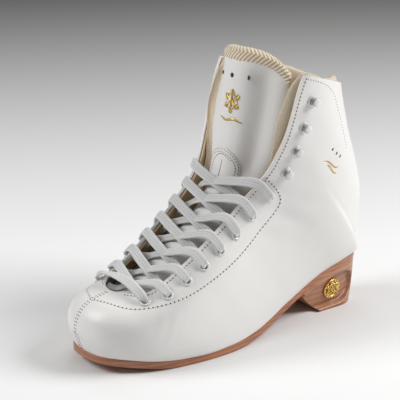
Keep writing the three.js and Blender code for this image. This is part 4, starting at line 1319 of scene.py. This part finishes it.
# %% Seams of the upper
# The vamp seam leaves the facing under the lowest hook and sweeps down to the toe, in the side
# view: x, z and, near the toe, y.
VAMP_SEAM = [(86, 129), (72.5, 110), (84, 93), (111.5, 73), (149.5, 57), (181, 50.5, 39),
             (200, 53, 27), (206.5, 54, 12)]
TOE_MIDDLE = -5.0
seams = Sewing()
for side, _ in SIDES:
    vamp = [address_of(side, *p) for p in VAMP_SEAM[:5]]
    for x, z, y in VAMP_SEAM[5:]:
        part = (y - TOE_MIDDLE) * (1 if side > 0 else 0.88)
        vamp.append(address_of(side, x, z, part + side * TOE_MIDDLE))
    leather_row(seams, side, vamp + [(2.83, 0.0)], 3.2, 0.62)
    stations = np.concatenate([np.linspace(4.12, 5.2, 8), np.linspace(5.6, RIM - 0.35, 22)])
    leather_row(seams, side, np.stack([stations, inset(side, stations, 3.2)], 1), 2.7, 0.56)
    edge = float(inset(side, RIM - 0.35, 3.2)[0])
    leather_row(seams, side, [(18.62, edge), (18.6, 0.8), (18.66, 0.95), (18.68, 1.08),
                              (18.45, 1.19), (17.9, 1.25), (17.0, 1.28), (16.4, 1.29)],
                2.5, 0.4, threads=False)
    down = np.array([3.85, 3.4, 2.8, 2.1, 1.5, 1.0, 0.6, 0.32, 0.17])
    toe = list(zip(down, inset(side, down, 1.25))) + [(0.09, 0.75), (0.07, 1.2), (0.06, 1.7)]
    leather_row(seams, side, toe, 2.5, 0.55, threads=False)
seam_parts = seams.finish("upper_seam")
print("upper seams:", [len(p.data.polygons) for p in seam_parts])

# %% Ankle vents and a small gilt flourish
ankle_vents = Sewing()
for x, z in ((28.2, 143), (23.2, 139), (19.3, 135.6)):
    u, a = address_of(1, x, z)
    out = normal(1, u, a)
    ankle_vents.hole(skin(1, u, a), out, unit(np.cross(out, [0, 1, 0.15])), 0.75, 1.9, sides=16)
ankle_vents.finish("ankle_vent")


def ribbon(place, line, width, low, high):
    """A thin raised strip that follows a line drawn in millimetres on a surface."""
    line = np.asarray(line, float)
    way = unit(np.gradient(line, axis=0))
    sideways = np.stack([-way[:, 1], way[:, 0]], -1) * np.asarray(width)[..., None] / 2
    left, right = line + sideways, line - sideways
    return np.stack([place(*left.T, low), place(*left.T, high), place(*right.T, high),
                     place(*right.T, low)], 1)


def ribbons(name, place, lines, finish_, body, low=-0.15, high=0.16):
    strips = [ribbon(place, line, width, low, high) for line, width in lines]
    parts = [(rings.reshape(-1, 3), tube_faces(len(rings), 4)) for rings in strips]
    return outward(piece(name, *join(parts), finish_, body=body))


def arm_line(start, end, count):
    return mix(np.array(start, float), np.array(end, float), np.linspace(0, 1, count)[:, None])


def snowflake(radius, width):
    """Six arms, each with two pairs of side twigs."""
    lines = []
    for i in range(6):
        turn_ = math.pi / 6 + i * math.pi / 3
        way = np.array([math.cos(turn_), math.sin(turn_)])
        lines.append((arm_line((0, 0), way * radius, 8), np.full(8, width)))
        for where, long in ((0.45, 0.34), (0.72, 0.24)):
            for lean in (-1, 1):
                angle = turn_ + lean * math.pi / 3.4
                twig = np.array([math.cos(angle), math.sin(angle)]) * radius * long
                root = way * radius * where
                lines.append((arm_line(root, root + twig, 5), np.full(5, width * 0.8)))
    return lines


def on_leather(side, x, z):
    """Millimetre coordinates on the leather around a place: forward is -x, up is +z."""
    u0, a0 = address_of(side, x, z)
    step = 0.02
    du = (surface(side, u0 + step, a0) - surface(side, u0 - step, a0)) / (2 * step)
    da = (surface(side, u0, a0 + step) - surface(side, u0, a0 - step)) / (2 * step)
    solve = np.linalg.pinv(np.stack([du, da], 1))

    def place(right, up_, high):
        move = np.asarray(right)[:, None] * [-1.0, 0, 0] + np.asarray(up_)[:, None] * [0, 0, 1.0]
        u, a = (solve @ move.T)
        return skin(side, u0 + u, a0 + a, -high)
    return place


s = np.linspace(0, 1, 60)
waves = [(np.stack([mix(-9 + 3 * i, 9 - 3 * i, s),
                    mix(5.5, -2.5, s) + 1.3 * np.sin(2 * np.pi * s) - 3.8 * i], -1),
          0.3 + 0.9 * np.sin(np.pi * s) ** 0.7) for i in range(2)]
ribbons("ankle_flourish", on_leather(1, 29, 129.5), waves, GILT, "boot")

# %% [markdown]
# ## What is sewn onto the tongue
# An oval leather keeper for the lace sits on the lower half, with a double row of stitches and a
# slit. Three round vents are punched near the top. Between them a gilt snowflake is pressed in,
# and a few pinholes run down the middle of the lower half.

# %% Tongue details
def front_depth(k):
    """Depth of the padded tongue's front at k."""
    bulge = (1 - np.clip(np.abs(k) / 0.985, 0, 1) ** (2 / 0.55)) ** 0.31
    return TONGUE_DEEP / 2 - bulge * (TONGUE_DEEP / 2 + 0.5)


def on_tongue(t, k, high=0.0):
    return tongue_at(t, k, front_depth(k) - high)


def tongue_out(t, k):
    return unit(tongue_at(t, k, -1.0) - tongue_at(t, k, 0.0))


KEEPER = {"t": 7.1, "k": -0.02, "tall": 1.05, "wide": 0.52, "thick": 1.0}


def keeper_oval(share, angle):
    """Addresses on an oval inside the keeper's edge."""
    return (KEEPER["t"] + KEEPER["tall"] * share * np.sin(angle),
            KEEPER["k"] + KEEPER["wide"] * share * np.cos(angle))


thick = KEEPER["thick"]
rings = np.array([on_tongue(*keeper_oval(share, angles(72)), lift) for share, lift in
                  ((0.02, -0.5), (1, -0.5), (1, 0.55 * thick), (0.988, 0.85 * thick),
                   (0.96, thick), (0.75, 1.02 * thick), (0.5, 1.05 * thick), (0.25, 1.05 * thick),
                   (0.02, 1.05 * thick))])
keeper = tube_piece("lace_keeper_patch", rings, LEATHER_WHITE, body=None,
                    stands_for=("lace_keeper",), slot="white_leather")
tongue_sewing = Sewing()
for share in (0.93, 0.82):
    angle = np.linspace(-0.35, np.pi + 0.35, 9)
    address = np.stack(keeper_oval(share, angle), 1)
    t, k = evenly(lambda t, k: on_tongue(t, k, thick), address, 2.3)
    tongue_sewing.row(on_tongue(t, k, thick), tongue_out(t, k), 0.42)
slit = np.stack([np.linspace(-9, 9, 12), 0.9 * np.sin(np.linspace(0, 1.5, 12))], -1)


def around_keeper(x, y, high):
    t = KEEPER["t"] + 0.05 + y / 18.5
    return on_tongue(t, KEEPER["k"] + 0.04 + x / tongue_half(t), high + thick)


# The slit is a thin near-black strip, painted shade inside the cut.
slit_piece = ribbons("keeper_slit", around_keeper,
                     [(slit[:, ::-1], 0.5 * np.sin(np.linspace(0.25, 2.9, 12)) ** 0.4)], PAINTED_SHADE,
                     None, high=0.1)
# A thin near-black curve on the keeper, painted shade along a fold in it.
keeper_curve = np.linspace(0.25 * np.pi, 1.02 * np.pi, 26)
curve_piece = ribbons("keeper_fold_shade", around_keeper,
                      [(np.stack([11.5 * np.cos(keeper_curve), 15.5 * np.sin(keeper_curve) - 2], -1),
                        0.38 * np.sin(np.linspace(0.2, 2.94, 26)) ** 0.5)], PAINTED_SHADE, None, high=0.07)

pinholes = Sewing()
for t, k in ((4.24, -0.16), (2.92, -0.1), (3.55, 0.2), (5.0, 0.1)):
    pinholes.hole(on_tongue(t, k), tongue_out(t, k), np.array([0, 1.0, 0]), 0.7)
pinholes.finish("tongue_pinhole")

vents = Sewing()
for k in (-0.385, -0.02, 0.34):
    vents.hole(on_tongue(10.93, k), tongue_out(10.93, k), np.array([0, 1.0, 0]), 1.9, sides=24)
vents.finish("tongue_vent", body="tongue_top")


def around_emblem(x, y, high):
    t = 9.98 + y / 19.5
    return on_tongue(t, 0.04 + x / tongue_half(t), high)


wave_x = np.linspace(-11.5, 11.5, 40)
underline = [(np.stack([wave_x, -13.2 + 0.9 * np.sin(wave_x * 0.42)], -1),
              0.45 + 1.1 * np.cos(wave_x / 11.5 * np.pi / 2) ** 0.7)]
ribbons("tongue_emblem", around_emblem, snowflake(8.6, 1.35) + underline, GILT, "tongue_top")
bent = [tongue, keeper, slit_piece, curve_piece] + tongue_sewing.finish("keeper_seam", body=None)

# %% [markdown]
# ## Badges in the heel
# A round gilt badge fills the hollow on each side of the heel, with a raised rim and a plain
# snowflake in relief.

# %% Heel badges
def badge_frame(side):
    def spot(f, t):
        return heel_side(side, np.array([f]), np.array([t]))[0]
    along = unit(spot(0.5, 0.5) - spot(0.38, 0.5))
    out = unit(np.cross(along, spot(0.44, 0.56) - spot(0.44, 0.44)))
    out = out * np.sign(out[1] * side)
    return spot(0.44, 0.5), along, unit(np.cross(out, along)), out


BADGE_GOLD = plain("polished gilt", (0.86, 0.58, 0.17), (0.95, 0.68, 0.24), 500, 0.24, 1.0, 0.05)
studs = Sewing()
for side, word in SIDES:
    at, along, up_, out = badge_frame(side)

    def on_badge(x, y, high):
        x, y = np.asarray(x, float), np.asarray(y, float)
        return at + x[..., None] * along + y[..., None] * up_ + out * (high + 1.1)

    circle = angles(48)
    rings = np.array([on_badge(r * np.cos(circle), r * np.sin(circle), h) for r, h in
                      ((0.1, -0.8), (8.5, -0.8), (8.6, -0.5), (8.6, 0.5), (8.3, 0.9),
                       (7.2, 0.9), (6.9, 0.5), (6.7, 0.2), (3, 0.25), (0.1, 0.27))])
    tube_piece("badge_" + word, rings, BADGE_GOLD, stands_for=("heel_badge_" + word,), slot="gilt")
    ribbons("badge_snowflake_" + word, on_badge, snowflake(6.3, 1.5), BADGE_GOLD, "boot", low=0.1,
            high=1.0)
    for count, radius in ((16, 7.75), (6, 4.4)):
        for angle in np.arange(count) * 2 * np.pi / count + np.pi / 6:
            spot = on_badge(radius * math.cos(angle), radius * math.sin(angle), 0.95)
            studs.hole(spot, out, along, 0.5, sides=10)
studs.finish("badge_stud")
print("badges made")

# %% [markdown]
# ## Hidden and carried-over pieces
# The stiffeners, boards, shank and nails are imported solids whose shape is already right. Each
# keeps its mesh and only gets a finish of its own, so that a cut or an exploded view looks real.

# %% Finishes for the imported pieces
STIFF = plain("stiffened leather board", (0.50, 0.40, 0.28), (0.58, 0.47, 0.34), 320, 0.8)
FIBRE = plain("pressed fibreboard", (0.42, 0.30, 0.19), (0.52, 0.39, 0.26), 520, 0.85)
CORK = plain("granulated cork", (0.30, 0.17, 0.08), (0.55, 0.38, 0.21), 420, 0.9, bump=0.6)
STEEL = plain("drawn steel", (0.42, 0.42, 0.43), (0.52, 0.52, 0.53), 240, 0.38, 0.9,
              stretch=(0.1, 1, 1))
FELT = textile("footbed textile", (0.74, 0.64, 0.49), (0.58, 0.48, 0.35), rib=1.2, band=1.2)
CARRIED = {"toe_puff": STIFF, "heel_counter": STIFF, "vamp_lining": FELT, "footbed": FELT,
           "insole_board": FIBRE, "cork_filler": CORK, "shank": STEEL,
           **{f"heel_nail_{i}": STEEL for i in range(1, 5)}}
for name, material in CARRIED.items():
    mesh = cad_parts[name].data
    mesh.materials.clear()
    mesh.materials.append(material)

# %% [markdown]
# ## Floor and light
# The boot stands on a pale floor. Its colour darkens to a mid grey far behind it, painted shade
# where the light falls off. Two large soft lamps stand on its left and right, the right one
# stronger, so that its front stays a little darker than its sides. A weak lamp behind and above
# lights the top edges, and the sky lifts the shadows.

# %% Stage
def floor_finish():
    made, tree, shader = finish("studio floor", rough=0.75)
    # The floor's colour darkens with distance behind the boot: painted shade where the light falls
    # off.
    gradient = tree.nodes.new("ShaderNodeMapRange")
    away = -back.copy()
    away.z = 0
    away.normalize()
    dot = tree.nodes.new("ShaderNodeVectorMath")
    dot.operation = "DOT_PRODUCT"
    tree.links.new(place_of(tree), dot.inputs[0])
    dot.inputs[1].default_value = away
    tree.links.new(dot.outputs["Value"], gradient.inputs["Value"])
    gradient.inputs["From Min"].default_value = 0.15
    gradient.inputs["From Max"].default_value = 2.2
    tree.links.new(ramp(tree, gradient.outputs["Result"],
                        [(0.0, (0.80, 0.80, 0.80)), (0.3, (0.62, 0.62, 0.62)),
                         (1.0, (0.25, 0.25, 0.25))]), shader.inputs["Base Color"])
    return made


FLOOR_SIZE = 9000
corners = np.array([[-1, -1, 0], [1, -1, 0], [1, 1, 0], [-1, 1, 0]]) * FLOOR_SIZE
floor = piece("floor", corners - [0, 0, 0.05], [[0, 1, 2, 3]], floor_finish(), body=None,
              smooth_it=False)


def lamp(name, azimuth, elevation, distance, size, watts):
    data = bpy.data.lights.new(name, "AREA")
    data.shape, data.size, data.energy = "DISK", size, watts
    made = bpy.data.objects.new(name, data)
    bpy.context.scene.collection.objects.link(made)
    way = direction(azimuth, elevation)
    made.location = look_at + way * distance
    made.rotation_mode = "QUATERNION"
    made.rotation_quaternion = (-way).to_track_quat("-Z", "Y")


lamp("key", AZIMUTH - 86, 38, 1.7, 0.9, 18)
lamp("side", AZIMUTH + 86, 38, 1.7, 1.0, 27)
lamp("top", AZIMUTH + 165, 62, 1.9, 1.4, 6)
world = bpy.data.worlds.new("studio")
world.use_nodes = True
world.node_tree.nodes["Background"].inputs["Color"].default_value = (1.0, 0.99, 0.975, 1)
world.node_tree.nodes["Background"].inputs["Strength"].default_value = 0.15
bpy.context.scene.world = world
bpy.context.scene.view_settings.view_transform = "Standard"
print("stage lit")

# %% [markdown]
# ## Finishing the tongue
# The tongue's mesh is final now. The places where it would bend between the boot and the joint's
# moving half are worked out, but nothing bends it; its pieces only get their placement baked into
# their meshes.

# %% Bend points and baking
BEND_FROM, BEND_TO, BEND_DEEP = 7.4, 9.3, 4
bend_from, bend_to = (tongue_at(t, 0, BEND_DEEP) for t in (BEND_FROM, BEND_TO))
for bendy in bent:
    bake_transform(bendy)

bpy.context.view_layer.update()
